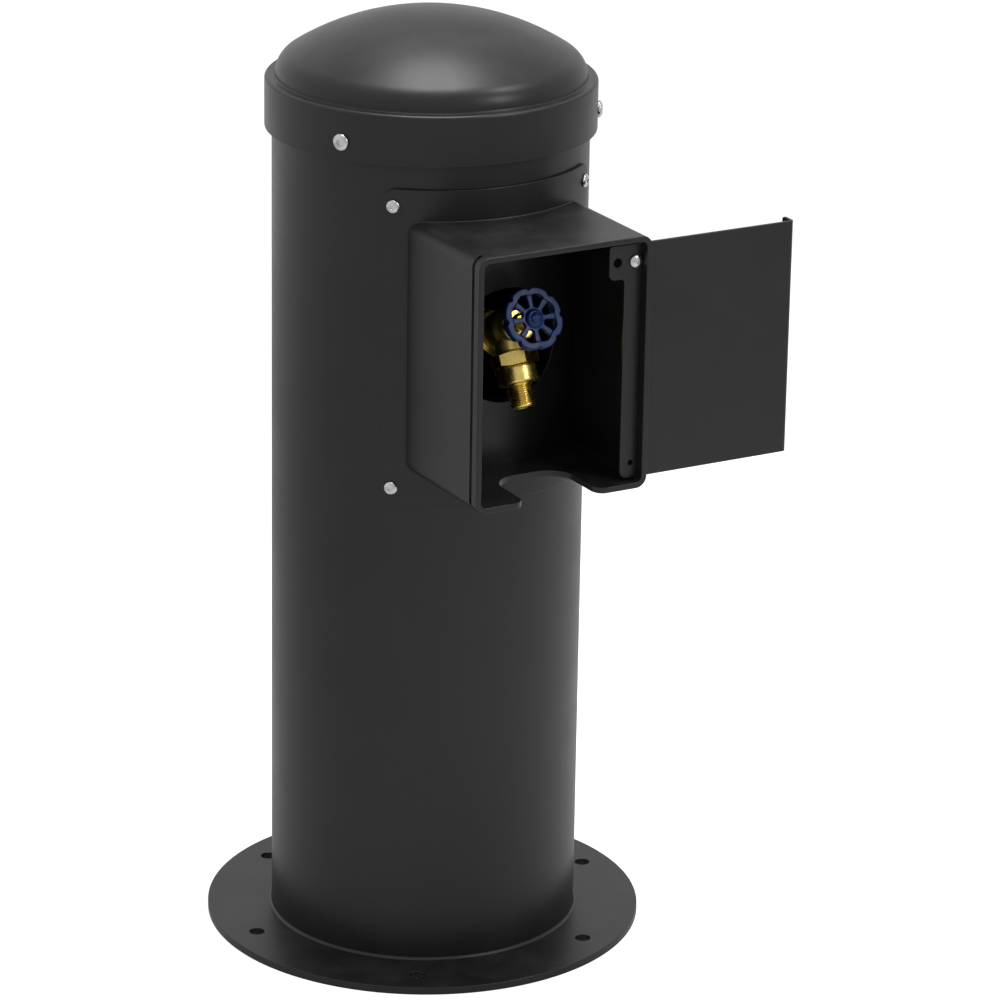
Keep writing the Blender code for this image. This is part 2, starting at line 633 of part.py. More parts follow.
def make_vacuum_breaker():
    turned_frame = OUTLET_FRAME @ Matrix.Rotation(math.pi / 6, 4, "Z")
    collar = hexagon("breaker_collar", 0.0252, 0.0246, 0.0382, BRASS, turned_frame)
    cut(collar, rod("collar_bore", HOSE_THREAD_RADIUS + GAP, 0.0, 0.060, place=OUTLET_FRAME))
    screw_place = frame_along(TAP_CENTRE + OUTLET_AXIS * 0.0300, (1, 0, 0))
    cut(collar, rod("set_screw_hole", 0.0023, 0.0, 0.030, place=screw_place, sides=16))
    rod("breaker_set_screw", 0.0020, 0.0140, 0.0205, STAINLESS, screw_place, 16)

    top = 0.0382 + GAP
    profile = [(0.0165, top), (0.0200, top), (0.0213, top + 0.0015), (0.0213, 0.0545), (0.0200, 0.0560)]
    profile += [(HOSE_THREAD_RADIUS, 0.0560), (HOSE_THREAD_RADIUS, 0.0790)]
    profile += [(0.0120, 0.0805), (0.0095, 0.0805)]
    profile += [(0.0095, 0.0580), (0.0060, 0.0580), (0.0060, 0.0550), (0.0165, 0.0550)]
    place = OUTLET_FRAME @ Matrix.Rotation(math.pi, 4, "X")
    flipped = [(radius, -along) for radius, along in profile]
    turned("breaker_body", flipped, BRASS, place, sides=28, ring=True)

    rod("breaker_diaphragm", 0.0160, 0.0392, 0.0412, RUBBER, OUTLET_FRAME, bore=0.0070)
    poppet = [(0, 0.0600), (0.0030, 0.0600), (0.0030, 0.0450)]
    poppet += [(0.0100, 0.0440), (0.0100, 0.0422), (0, 0.0422)]
    turned("breaker_poppet", poppet, ACETAL, OUTLET_FRAME, sides=28)
    turns, steps = 3, 8
    route = []
    for i in range(turns * steps + 1):
        spin = 2 * math.pi * i / steps
        along = 0.0462 + 0.0078 * i / (turns * steps)
        route.append(OUTLET_FRAME @ Vector((0.0078 * math.cos(spin), 0.0078 * math.sin(spin), along)))
    bent_rod("breaker_spring", route, 0.0005, STAINLESS, resolution=1)


# Supply pipe


def make_supply():
    """The riser from the ground, its elbow, the nipple into the tap and the bracket that steadies it."""
    inlet_end = INLET_FRAME.translation.y + 0.0120
    elbow_radius = 0.0240
    elbow_reach = 0.0400
    nipple_start = Vector((0, inlet_end + GAP, INLET_HEIGHT))
    length = RISER_Y - elbow_reach + 0.0150 - nipple_start.y
    place = frame_along(nipple_start, (0, 1, 0))
    rod("inlet_nipple", PIPE_RADIUS, 0, length, GALVANISED, place, bore=PIPE_BORE)

    centre_y = RISER_Y - elbow_radius
    centre_z = INLET_HEIGHT - elbow_radius
    bend = [Vector((0, y, z)) for y, z in arc((centre_y, centre_z), elbow_radius, 90, 0, 6)]
    face_y = RISER_Y - elbow_reach
    face_z = INLET_HEIGHT - elbow_reach
    route = [Vector((0, face_y, INLET_HEIGHT))] + bend + [Vector((0, RISER_Y, face_z))]
    elbow = bent_rod("inlet_elbow", route, FITTING_RADIUS, GALVANISED)
    long_route = [Vector((0, face_y - 0.01, INLET_HEIGHT))] + bend + [Vector((0, RISER_Y, face_z - 0.01))]
    cut(elbow, bent_rod("elbow_bore", long_route, PIPE_BORE))
    socket = 0.0160
    to_tap = frame_along((0, face_y, INLET_HEIGHT), (0, 1, 0))
    to_riser = frame_along((0, RISER_Y, face_z), (0, 0, 1))
    cut(elbow, rod("elbow_socket_front", PIPE_RADIUS + GAP, -0.01, socket, place=to_tap))
    cut(elbow, rod("elbow_socket_foot", PIPE_RADIUS + GAP, -0.01, socket, place=to_riser))

    at_riser = Matrix.Translation((0, RISER_Y, 0))
    riser_top = face_z + 0.0150
    rod("riser_pipe", PIPE_RADIUS, 0.0300, riser_top, GALVANISED, at_riser, bore=PIPE_BORE)
    radius = FITTING_RADIUS + 0.001
    coupling = rod("riser_coupling", radius, 0.0020, 0.0480, GALVANISED, at_riser, bore=PIPE_BORE)
    cut(coupling, rod("coupling_socket", PIPE_RADIUS + GAP, 0.0290, 0.060, place=at_riser))


def make_bracket():
    height = 0.5600
    front = RISER_Y + PIPE_RADIUS + 0.0004
    back = front + 0.0050
    inside = POST_RADIUS - POST_WALL - GAP
    bracket = rod("riser_bracket", inside, height - 0.0175, height + 0.0175, GALVANISED, sides=POST_SIDES)
    bar = box("bracket_bar", (-0.2, front, height - 0.03), (0.2, back, height + 0.03))
    combine(bracket, "INTERSECT", [bar])
    leg = PIPE_RADIUS + 0.0004 + 0.0040
    for side in (-1, 1):
        place = frame_along((side * leg, front, height), (0, 1, 0))
        cut(bracket, rod(f"bracket_hole_{side}", 0.0046, -0.010, 0.020, place=place, sides=16))
        nut = hexagon(f"ubolt_nut_{side}", 0.0075, back - front + GAP, back - front + 0.0065, place=place)
        cut(nut, rod(f"ubolt_nut_bore_{side}", 0.0040 + GAP, -0.010, 0.030, place=place, sides=16))
        name = "ubolt_nut_1" if side < 0 else "ubolt_nut_2"
        add_object(name, solid_mesh(nut, name), STAINLESS, place)
    end = back + 0.0110
    curve = [Vector((x, y, height)) for x, y in arc((0, RISER_Y), leg, 180, 360, 10)]
    route = [Vector((-leg, end, height))] + curve + [Vector((leg, end, height))]
    bent_rod("riser_ubolt", route, 0.0040, STAINLESS)


def main():
    port = make_port()
    make_base_plate()
    make_base_weld()
    shade(make_post(port))
    shade(make_cap())
    make_fasteners()
    make_box(port)
    make_door()
    make_door_stop()
    shade(make_tap_body())
    make_stem_parts()
    make_handwheel()
    make_vacuum_breaker()
    make_supply()
    make_bracket()


main()
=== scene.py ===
# %% [markdown]
# # A hose tap bollard
# The object is a round steel post on a bolted base plate. It has a domed cap, a welded box on its side with
# a sliding door, and a brass hose tap inside the box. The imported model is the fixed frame: it has the real
# sizes and the joints, and this lesson builds the finely shaped pieces and their finishes around it.
# Lengths are in metres, +Z is up, and the box faces -Y.

# %% Load the fixed frame
import json
import math

import bmesh
import bpy
from mathutils import Matrix, Vector


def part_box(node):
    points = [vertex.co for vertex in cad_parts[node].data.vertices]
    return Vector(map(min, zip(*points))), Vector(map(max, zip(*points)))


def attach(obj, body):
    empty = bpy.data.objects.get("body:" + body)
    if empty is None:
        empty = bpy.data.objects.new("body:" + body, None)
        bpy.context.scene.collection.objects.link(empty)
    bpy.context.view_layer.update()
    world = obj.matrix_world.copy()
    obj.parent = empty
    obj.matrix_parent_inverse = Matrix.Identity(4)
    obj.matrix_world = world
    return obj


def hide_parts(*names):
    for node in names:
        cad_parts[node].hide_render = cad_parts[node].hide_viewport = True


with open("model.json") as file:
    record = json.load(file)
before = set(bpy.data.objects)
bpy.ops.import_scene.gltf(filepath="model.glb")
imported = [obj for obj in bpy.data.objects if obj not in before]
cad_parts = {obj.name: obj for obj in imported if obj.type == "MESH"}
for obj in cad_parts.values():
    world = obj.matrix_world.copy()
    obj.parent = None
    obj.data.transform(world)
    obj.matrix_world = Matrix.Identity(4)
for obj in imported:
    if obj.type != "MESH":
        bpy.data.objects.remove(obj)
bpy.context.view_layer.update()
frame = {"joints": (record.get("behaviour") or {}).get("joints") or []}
JOINTS = {joint["name"]: joint for joint in frame["joints"]}
SCENE = bpy.context.scene

# %% [markdown]
# ## The view
# A long lens a few metres away keeps the post's sides parallel, as a catalogue picture does. The camera
# looks down about nineteen degrees from the box's left. Its frame is worked out from the turn, the tilt and
# a very small roll, so that each of them can be changed by itself.

# %% Camera
VIEW_TURN = math.radians(29.553)
VIEW_TILT = math.radians(19.446)
VIEW_ROLL = math.radians(0.948)
VIEW_DISTANCE = 4.946
VIEW_SIDESTEP = 0.07645
VIEW_HEIGHT = 0.4614
LENS_LENGTH = 170.39
SENSOR_WIDTH = 36


def make_camera():
    """A camera that looks at the middle of the post from a turn, a tilt and a distance."""
    right = Vector((math.cos(VIEW_TURN), -math.sin(VIEW_TURN), 0))
    level = Vector((math.sin(VIEW_TURN), math.cos(VIEW_TURN), 0))
    forward = level * math.cos(VIEW_TILT) - Vector((0, 0, math.sin(VIEW_TILT)))
    up = right.cross(forward)
    side = right * math.cos(VIEW_ROLL) + up * math.sin(VIEW_ROLL)
    top = up * math.cos(VIEW_ROLL) - right * math.sin(VIEW_ROLL)
    place = Matrix((side, top, -forward)).transposed().to_4x4()
    place.translation = right * VIEW_SIDESTEP + Vector((0, 0, VIEW_HEIGHT)) - forward * VIEW_DISTANCE
    lens = bpy.data.cameras.new("view")
    lens.lens = LENS_LENGTH
    lens.sensor_width = SENSOR_WIDTH
    camera = bpy.data.objects.new("view", lens)
    camera.matrix_world = place
    SCENE.collection.objects.link(camera)
    SCENE.camera = camera
    print("camera at", [round(x, 3) for x in place.translation])


make_camera()

# %% [markdown]
# ## Nodes, in short
# A finish is a small network of nodes. These helpers add one node in one line: its settings, and its
# inputs, each of which is a plain value or another node's output. A group's sockets are made on its
# interface.

# %% Helpers for nodes


def add_node(tree, kind, inputs=None, **settings):
    made = tree.nodes.new(kind)
    for name, value in settings.items():
        setattr(made, name, value)
    for key, value in (inputs or {}).items():
        if isinstance(value, bpy.types.NodeSocket):
            tree.links.new(value, made.inputs[key])
        else:
            made.inputs[key].default_value = value
    return made


def calculate(tree, operation, first, second=0.0):
    return add_node(tree, "ShaderNodeMath", {0: first, 1: second}, operation=operation).outputs[0]


def times(tree, first, second):
    return calculate(tree, "MULTIPLY", first, second)


def dot(tree, first, second):
    """How far two directions agree."""
    inputs = {0: first, 1: second}
    return add_node(tree, "ShaderNodeVectorMath", inputs, operation="DOT_PRODUCT").outputs["Value"]


def own_place(tree):
    """Where each point lies in its piece's own coordinates."""
    return add_node(tree, "ShaderNodeTexCoord").outputs["Object"]


def remap(tree, value, low, high, to_low=0.0, to_high=1.0):
    """A value's range moved to another one, with soft ends."""
    inputs = {"Value": value, "From Min": low, "From Max": high, "To Min": to_low, "To Max": to_high}
    return add_node(tree, "ShaderNodeMapRange", inputs, interpolation_type="SMOOTHSTEP").outputs[0]


def noise(tree, place, scale, detail=2.0, roughness=0.5):
    inputs = {"Vector": place, "Scale": scale, "Detail": detail, "Roughness": roughness}
    return add_node(tree, "ShaderNodeTexNoise", inputs).outputs[0]


def blend_colour(tree, share, first, second):
    """Two colours mixed by a share that changes over the surface."""
    made = add_node(tree, "ShaderNodeMix", data_type="RGBA")
    for socket, value in zip((made.inputs[0], made.inputs[6], made.inputs[7]), (share, first, second)):
        if isinstance(value, bpy.types.NodeSocket):
            tree.links.new(value, socket)
        else:
            socket.default_value = value if isinstance(value, float) else (*value, 1)
    return made.outputs[2]


def new_group(name, inputs, outputs):
    """A shader node group with named number sockets. Returns its tree, its inputs and its outputs."""
    tree = bpy.data.node_groups.new(name, "ShaderNodeTree")
    for label, value in inputs.items():
        tree.interface.new_socket(label, in_out="INPUT", socket_type="NodeSocketFloat").default_value = value
    for label in outputs:
        tree.interface.new_socket(label, in_out="OUTPUT", socket_type="NodeSocketFloat")
    entry = tree.nodes.new("NodeGroupInput")
    leave = tree.nodes.new("NodeGroupOutput")
    return tree, entry.outputs, leave.inputs


print("node helpers ready")

# %% [markdown]
# ## Effect: orange peel
# Powder melts into a skin with a faint ripple, like the peel of an orange, and enamel and moulded plastic
# have a softer one. Two sizes of noise make the ripple, and a slow one varies the tone from patch to patch.

# %% Orange peel group


def make_orange_peel():
    tree, given, wanted = new_group("orange_peel", {"Ripple Size": 0.002}, ["Height", "Tone"])
    place = own_place(tree)
    scale = calculate(tree, "DIVIDE", 1.0, given["Ripple Size"])
    ripple = noise(tree, place, scale, 1.5)
    fine = noise(tree, place, times(tree, scale, 4.3), 1.0)
    mixed = calculate(tree, "ADD", ripple, times(tree, fine, 0.22))
    tree.links.new(mixed, wanted["Height"])
    patches = noise(tree, place, times(tree, scale, 0.035), 4.0, 0.6)
    tree.links.new(remap(tree, patches, 0.30, 0.70), wanted["Tone"])
    return tree


ORANGE_PEEL = make_orange_peel()
print("group:", ORANGE_PEEL.name)

# %% [markdown]
# ## Effect: thin edges
# A coat pulls thin over an edge and is rubbed there, so edges are a little lighter and smoother. The Bevel
# node gives the normal of a rounded edge, and where it leaves the true normal there is an edge close by.

# %% Thin edge group


def make_thin_edges():
    tree, given, wanted = new_group("thin_edges", {"Width": 0.001, "Raggedness": 0.5}, ["Mask"])
    rounded = add_node(tree, "ShaderNodeBevel", {"Radius": given["Width"]}, samples=4).outputs[0]
    real = add_node(tree, "ShaderNodeNewGeometry").outputs["Normal"]
    edge = remap(tree, calculate(tree, "SUBTRACT", 1.0, dot(tree, rounded, real)), 0.01, 0.20)
    ragged = times(tree, noise(tree, own_place(tree), 160.0, 3.0), given["Raggedness"])
    whole = calculate(tree, "SUBTRACT", 1.0, ragged)
    tree.links.new(times(tree, edge, whole), wanted["Mask"])
    return tree


THIN_EDGES = make_thin_edges()
print("group:", THIN_EDGES.name)

# %% [markdown]
# ## Effect: settled dust
# An object that stands outdoors gathers a trace of dust on the faces that look up. The mask takes the
# upward part of the normal and breaks it with noise, so the dust lies in uneven patches.

# %% Settled dust group


def make_settled_dust():
    tree, given, wanted = new_group("settled_dust", {"Amount": 0.3, "Patch Size": 0.03}, ["Mask"])
    normal = add_node(tree, "ShaderNodeNewGeometry").outputs["Normal"]
    upward = remap(tree, add_node(tree, "ShaderNodeSeparateXYZ", {0: normal}).outputs["Z"], 0.55, 1.0)
    place = own_place(tree)
    scale = calculate(tree, "DIVIDE", 1.0, given["Patch Size"])
    patches = remap(tree, noise(tree, place, scale, 6.0, 0.65), 0.35, 0.75)
    mask = times(tree, times(tree, upward, patches), given["Amount"])
    tree.links.new(mask, wanted["Mask"])
    return tree


SETTLED_DUST = make_settled_dust()
print("group:", SETTLED_DUST.name)

# %% [markdown]
# ## Effect: turned rings
# A lathe tool leaves very fine rings round the piece's own axis. Each turned piece keeps its local Z along
# that axis, so a sine of the height and of the radius gives rings on its sides and on its end faces.

# %% Turned rings group


def make_turned_rings():
    tree, given, wanted = new_group("turned_rings", {"Pitch": 0.0004}, ["Height", "Tone"])
    place = own_place(tree)
    parts = add_node(tree, "ShaderNodeSeparateXYZ", {0: place}).outputs
    flat = add_node(tree, "ShaderNodeCombineXYZ", {0: parts[0], 1: parts[1]}).outputs[0]
    radius = add_node(tree, "ShaderNodeVectorMath", {0: flat}, operation="LENGTH").outputs["Value"]
    travel = calculate(tree, "ADD", radius, parts[2])
    wander = times(tree, noise(tree, place, 300.0, 2.0), given["Pitch"])
    turns = calculate(tree, "DIVIDE", calculate(tree, "ADD", travel, wander), given["Pitch"])
    wave = calculate(tree, "SINE", times(tree, turns, 2 * math.pi))
    tree.links.new(calculate(tree, "MULTIPLY_ADD", wave, 0.5), wanted["Height"])
    bands = noise(tree, place, 90.0, 3.0, 0.6)
    tree.links.new(remap(tree, bands, 0.30, 0.70), wanted["Tone"])
    return tree


TURNED_RINGS = make_turned_rings()
print("group:", TURNED_RINGS.name)

# %% [markdown]
# ## Effect: cast grain
# Metal poured into sand copies its grains: small bumps with some pits between them. Noise makes the bumps
# and a cell pattern makes the pits. It serves the brass casting, the handwheel and the pipe fittings.

# %% Cast grain group


def make_cast_grain():
    tree, given, wanted = new_group("cast_grain", {"Grain Size": 0.0008}, ["Height", "Tone"])
    place = own_place(tree)
    scale = calculate(tree, "DIVIDE", 1.0, given["Grain Size"])
    bumps = noise(tree, place, scale, 3.0, 0.6)
    cells = add_node(tree, "ShaderNodeTexVoronoi", {"Vector": place, "Scale": scale}).outputs["Distance"]
    pits = remap(tree, cells, 0.0, 0.35)
    tree.links.new(times(tree, bumps, pits), wanted["Height"])
    stains = noise(tree, place, times(tree, scale, 0.08), 4.0, 0.6)
    tree.links.new(remap(tree, stains, 0.32, 0.68), wanted["Tone"])
    return tree


CAST_GRAIN = make_cast_grain()
print("group:", CAST_GRAIN.name)

# %% [markdown]
# ## Placing an effect in a finish
# Every finish starts the same way: one shader with the numbers that are the same all over it. The effects
# then feed its colour, its roughness and the height of its bump.

# %% Helpers for finishes


def start_finish(name, **constants):
    """A new material. Returns it with its tree and its shader, whose constant sockets are set directly."""
    made = bpy.data.materials.new(name)
    made.use_nodes = True
    tree = made.node_tree
    shader = tree.nodes["Principled BSDF"]
    for label, value in constants.items():
        shader.inputs[label.replace("_", " ")].default_value = value
    return made, tree, shader


def effect(tree, group, **values):
    """Places a group in a material with its own values, and returns the group's outputs."""
    made = add_node(tree, "ShaderNodeGroup", node_tree=group)
    for label, value in values.items():
        made.inputs[label.replace("_", " ")].default_value = value
    return made.outputs


def dress(tree, shader, colour, rough, height, depth, strength):
    """Feeds the shader its colour, its roughness and the height of its bump."""
    tree.links.new(colour, shader.inputs["Base Color"])
    tree.links.new(rough, shader.inputs["Roughness"])
    inputs = {"Height": height, "Distance": depth, "Strength": strength}
    tree.links.new(add_node(tree, "ShaderNodeBump", inputs).outputs[0], shader.inputs["Normal"])


print("finish helpers ready")

# %% [markdown]
# ## Finish: black powder coat
# The post, the base, the cap, the box and the door have one baked coat: almost black, half matt, and bright
# only where light grazes it. The base colour is very dark, so nearly all that is seen is its reflection.

# %% Black powder coat


def make_powder_coat():
    made, tree, shader = start_finish("black_powder_coat", IOR=1.42)
    peel = effect(tree, ORANGE_PEEL, Ripple_Size=0.0024)
    edges = effect(tree, THIN_EDGES, Width=0.0011, Raggedness=0.6)["Mask"]
    dust = effect(tree, SETTLED_DUST, Amount=0.10, Patch_Size=0.05)["Mask"]
    colour = blend_colour(tree, peel["Tone"], (0.0060, 0.0060, 0.0063), (0.0082, 0.0082, 0.0085))
    colour = blend_colour(tree, times(tree, edges, 0.35), colour, (0.045, 0.045, 0.047))
    colour = blend_colour(tree, dust, colour, (0.110, 0.105, 0.095))
    rough = remap(tree, peel["Tone"], 0.0, 1.0, 0.345, 0.385)
    rough = calculate(tree, "ADD", rough, times(tree, dust, 0.5))
    dress(tree, shader, colour, rough, peel["Height"], 0.00003, 0.35)
    return made


POWDER_COAT = make_powder_coat()
print("finish:", POWDER_COAT.name)

# %% [markdown]
# ## Finish: stainless steel
# The screws are bright stainless steel, turned and then tumbled: fine rings, a slightly uneven polish and
# lighter edges. A metal takes its colour from its base colour, so this is a pale neutral grey.

# %% Stainless steel


def make_stainless(name, pitch, rough_low, rough_high):
    made, tree, shader = start_finish(name, Metallic=1.0)
    rings = effect(tree, TURNED_RINGS, Pitch=pitch)
    edges = effect(tree, THIN_EDGES, Width=0.0004, Raggedness=0.4)["Mask"]
    colour = blend_colour(tree, rings["Tone"], (0.50, 0.50, 0.52), (0.62, 0.62, 0.64))
    colour = blend_colour(tree, edges, colour, (0.80, 0.80, 0.81))
    rough = remap(tree, rings["Tone"], 0.0, 1.0, rough_low, rough_high)
    dress(tree, shader, colour, rough, rings["Height"], 0.00001, 0.25)
    return made


STAINLESS = make_stainless("stainless_steel", 0.00045, 0.16, 0.26)
SPRING_WIRE = make_stainless("drawn_spring_wire", 0.00020, 0.18, 0.26)
print("finish:", STAINLESS.name, SPRING_WIRE.name)

# %% [markdown]
# ## Finish: brass, cast and machined
# The tap's body keeps the skin of its mould, and its turned parts were cut bright. Both are the same alloy,
# so one function makes them, and only the effect that feeds the bump and the roughness differs.

# %% Brass


def make_brass(name, group, size, depth, rough_low, rough_high):
    made, tree, shader = start_finish(name, Metallic=1.0)
    skin = effect(tree, group, **size)
    edges = effect(tree, THIN_EDGES, Width=0.0006, Raggedness=0.5)["Mask"]
    colour = blend_colour(tree, skin["Tone"], (0.62, 0.46, 0.12), (0.78, 0.62, 0.20))
    colour = blend_colour(tree, times(tree, edges, 0.7), colour, (0.90, 0.78, 0.38))
    rough = remap(tree, skin["Tone"], 0.0, 1.0, rough_low, rough_high)
    dress(tree, shader, colour, rough, skin["Height"], depth, 0.5)
    return made


CAST_BRASS = make_brass("cast_brass", CAST_GRAIN, {"Grain_Size": 0.0009}, 0.00008, 0.30, 0.42)
TURNED_BRASS = make_brass("turned_brass", TURNED_RINGS, {"Pitch": 0.0005}, 0.00001, 0.20, 0.32)
print("finish:", CAST_BRASS.name, TURNED_BRASS.name)

# %% [markdown]
# ## Finish: blue enamel
# The handwheel is a rough casting dipped in royal blue enamel. The enamel fills the grain, so the bump is
# soft, and it runs thin on the edges of the lobes and windows. Those edges are painted a faint paler lilac,
# a painted highlight. A clear coat gives the shine.

# %% Blue enamel


def make_blue_enamel():
    made, tree, shader = start_finish("blue_enamel", IOR=1.33, Coat_Weight=0.05, Coat_Roughness=0.16)
    grain = effect(tree, CAST_GRAIN, Grain_Size=0.0011)
    edges = effect(tree, THIN_EDGES, Width=0.0003, Raggedness=0.4)["Mask"]
    colour = blend_colour(tree, grain["Tone"], (0.0012, 0.0125, 0.0700), (0.0020, 0.0220, 0.1150))
    # Painted highlight: a faint paler lilac painted on the edges of the lobes and windows.
    colour = blend_colour(tree, times(tree, edges, 0.04), colour, (0.34, 0.38, 0.62))
    rough = remap(tree, grain["Tone"], 0.0, 1.0, 0.32, 0.45)
    dress(tree, shader, colour, rough, grain["Height"], 0.00006, 0.4)
    return made


BLUE_ENAMEL = make_blue_enamel()
print("finish:", BLUE_ENAMEL.name)

# %% [markdown]
# ## Finish: zinc
# Pipe, fittings, rivet nuts and the bracket are galvanised. Molten zinc freezes into flat crystals, each of
# which shines in its own direction, so a cell pattern varies the colour and the roughness.

# %% Galvanised steel


def make_zinc(name, grain_depth):
    made, tree, shader = start_finish(name, Metallic=0.9)
    place = own_place(tree)
    cells = add_node(tree, "ShaderNodeTexVoronoi", {"Vector": place, "Scale": 210.0}).outputs["Color"]
    crystal = add_node(tree, "ShaderNodeSeparateColor", {0: cells}).outputs[0]
    grain = effect(tree, CAST_GRAIN, Grain_Size=0.0010)
    colour = blend_colour(tree, crystal, (0.38, 0.40, 0.42), (0.55, 0.57, 0.59))
    colour = blend_colour(tree, times(tree, grain["Tone"], 0.35), colour, (0.30, 0.30, 0.29))
    rough = remap(tree, crystal, 0.0, 1.0, 0.38, 0.56)
    dress(tree, shader, colour, rough, grain["Height"], grain_depth, 0.4)
    return made


ZINC_PIPE = make_zinc("galvanised_pipe", 0.00002)
ZINC_CASTING = make_zinc("galvanised_casting", 0.00012)
print("finish:", ZINC_PIPE.name, ZINC_CASTING.name)

# %% [markdown]
# ## Finish: rubber and acetal
# The washers and the diaphragm are moulded rubber, dark and matt with a trace of bloom. The vacuum
# breaker's poppet is white acetal, a hard plastic that yellows a little in patches.

# %% Moulded materials


def make_moulded(name, dark, light, rough_low, rough_high, ripple):
    made, tree, shader = start_finish(name)
    peel = effect(tree, ORANGE_PEEL, Ripple_Size=ripple)
    colour = blend_colour(tree, peel["Tone"], dark, light)
    rough = remap(tree, peel["Tone"], 0.0, 1.0, rough_low, rough_high)
    dress(tree, shader, colour, rough, peel["Height"], 0.00003, 0.4)
    return made


RUBBER = make_moulded("moulded_rubber", (0.012, 0.012, 0.012), (0.030, 0.029, 0.028), 0.62, 0.80, 0.0006)
ACETAL = make_moulded("moulded_acetal", (0.70, 0.69, 0.63), (0.80, 0.80, 0.76), 0.34, 0.46, 0.0010)
print("finish:", RUBBER.name, ACETAL.name)

# %% [markdown]
# ## Turning
# Most of the object is round, so one helper does a lathe's work. It takes a profile of (radius, height)
# points and carries it round the axis. A radius may also be a rule that depends on the angle, and that is
# how a screw thread or a rippled weld is made. Corners are rounded first, because no real edge is perfectly
# sharp.

# %% Lathe helpers
SAME_POINT = 0.0000015


def frame_along(origin, direction, turn=0.0):
    """A place whose Z runs along the direction."""
    rotation = Vector(direction).to_track_quat("Z", "Y").to_matrix().to_4x4()
    return Matrix.Translation(origin) @ rotation @ Matrix.Rotation(turn, 4, "Z")


def softened(profile, size, steps=3, closed=False):
    """The same outline with each corner rounded off over a short length on both sides."""
    made = []
    count = len(profile)
    for i, point in enumerate(profile):
        if not closed and i in (0, count - 1):
            made.append(tuple(point))
            continue
        corner = Vector(point)
        before = Vector(profile[i - 1]) - corner
        after = Vector(profile[(i + 1) % count]) - corner
        if before.angle(after) > math.radians(160):
            made.append(tuple(point))
            continue
        start = corner + before.normalized() * min(size, before.length * 0.45)
        end = corner + after.normalized() * min(size, after.length * 0.45)
        for k in range(steps + 1):
            share = k / steps
            made.append(tuple(start.lerp(corner, share).lerp(corner.lerp(end, share), share)))
    return made


def finish_mesh(name, work, crease=32):
    """Writes the work mesh out, smooth except along creases."""
    bmesh.ops.remove_doubles(work, verts=work.verts, dist=SAME_POINT)
    bmesh.ops.recalc_face_normals(work, faces=work.faces)
    mesh = bpy.data.meshes.new(name)
    work.to_mesh(mesh)
    work.free()
    mesh.shade_smooth()
    mesh.set_sharp_from_angle(angle=math.radians(crease))
    return mesh


def finished(name, mesh, crease=32):
    """The same for a mesh that is already written out."""
    work = bmesh.new()
    work.from_mesh(mesh)
    return finish_mesh(name, work, crease)


def turned(name, profile, sides=96, closed=False, crease=32):
    """A mesh turned from a profile. It is closed if the profile meets the axis or is a closed ring."""
    work = bmesh.new()
    rings = []
    for radius, height in profile:
        ring = []
        for i in range(sides):
            angle = 2 * math.pi * i / sides
            reach = radius(angle) if callable(radius) else radius
            ring.append(work.verts.new((reach * math.cos(angle), reach * math.sin(angle), height)))
        rings.append(ring)
    pairs = list(zip(rings, rings[1:]))
    if closed:
        pairs.append((rings[-1], rings[0]))
    for upper, lower in pairs:
        for i in range(sides):
            j = (i + 1) % sides
            work.faces.new((upper[i], lower[i], lower[j], upper[j]))
    return finish_mesh(name, work, crease)


def oblong(inner, outer, low, high):
    """The profile of a plain ring, or of a rod when its inner radius is 0."""
    return [(inner, high), (outer, high), (outer, low), (inner, low)]


def turned_ring(name, profile, corner, sides=96):
    """A mesh turned from a closed profile with its corners softened."""
    return turned(name, softened(profile, corner, closed=True), sides, closed=True)


def thread(crest, depth, pitch, start, end, steps=10):
    """Profile points of a right-hand screw thread that fades out over a turn at both ends."""
    count = max(4, round(abs(end - start) / pitch * steps))
    made = []
    for i in range(count + 1):
        height = start + (end - start) * i / count
        fade = min(1.0, min(abs(height - start), abs(end - height)) / pitch)

        def radius(angle, height=height, fade=fade):
            phase = (height / pitch - angle / (2 * math.pi)) % 1.0
            groove = min(1.0, max(0.0, 1.35 - 2.7 * abs(phase - 0.5)))
            return crest - depth * fade * groove

        made.append((radius, height))
    return made


print("lathe ready")

# %% [markdown]
# ## Plates, and cutting
# Flat pieces start as a 2D curve with its holes, thickened and with a rounded edge, which Blender gives all
# the way round the holes too. A Boolean then cuts what crosses the plate another way. A cut edge is rounded
# by a Bevel modifier that takes only the sharp edges.

# %% Plate helpers


def evaluated_mesh(thing, name):
    bpy.context.view_layer.update()
    graph = bpy.context.evaluated_depsgraph_get()
    mesh = bpy.data.meshes.new_from_object(thing.evaluated_get(graph), depsgraph=graph)
    mesh.name = name
    return mesh


def arc(centre, radius, start, end, steps):
    turns = (math.radians(start + (end - start) * i / steps) for i in range(steps + 1))
    return [(centre[0] + radius * math.cos(t), centre[1] + radius * math.sin(t)) for t in turns]


def rounded_rectangle(left, right, bottom, top, radius, steps=10):
    corners = (
        ((right - radius, top - radius), 0),
        ((left + radius, top - radius), 90),
        ((left + radius, bottom + radius), 180),
        ((right - radius, bottom + radius), 270),
    )
    return [point for centre, start in corners for point in arc(centre, radius, start, start + 90, steps)]


def circle(x, y, radius, steps=48):
    return arc((x, y), radius, 0, 360 - 360 / steps, steps - 1)


def curve_mesh(name, routes, closed=False, **settings):
    """The mesh of a Blender curve. Its routes are lists of points, and its settings are Blender's own."""
    curve = bpy.data.curves.new(name, "CURVE")
    curve.dimensions = "3D"
    for setting, value in settings.items():
        setattr(curve, setting, value)
    for route in routes:
        spline = curve.splines.new("POLY")
        spline.points.add(len(route) - 1)
        for point, place in zip(spline.points, route):
            point.co = (*place, 1)
        spline.use_cyclic_u = closed
    line = bpy.data.objects.new(name, curve)
    SCENE.collection.objects.link(line)
    mesh = finished(name, evaluated_mesh(line, name))
    bpy.data.objects.remove(line)
    return mesh


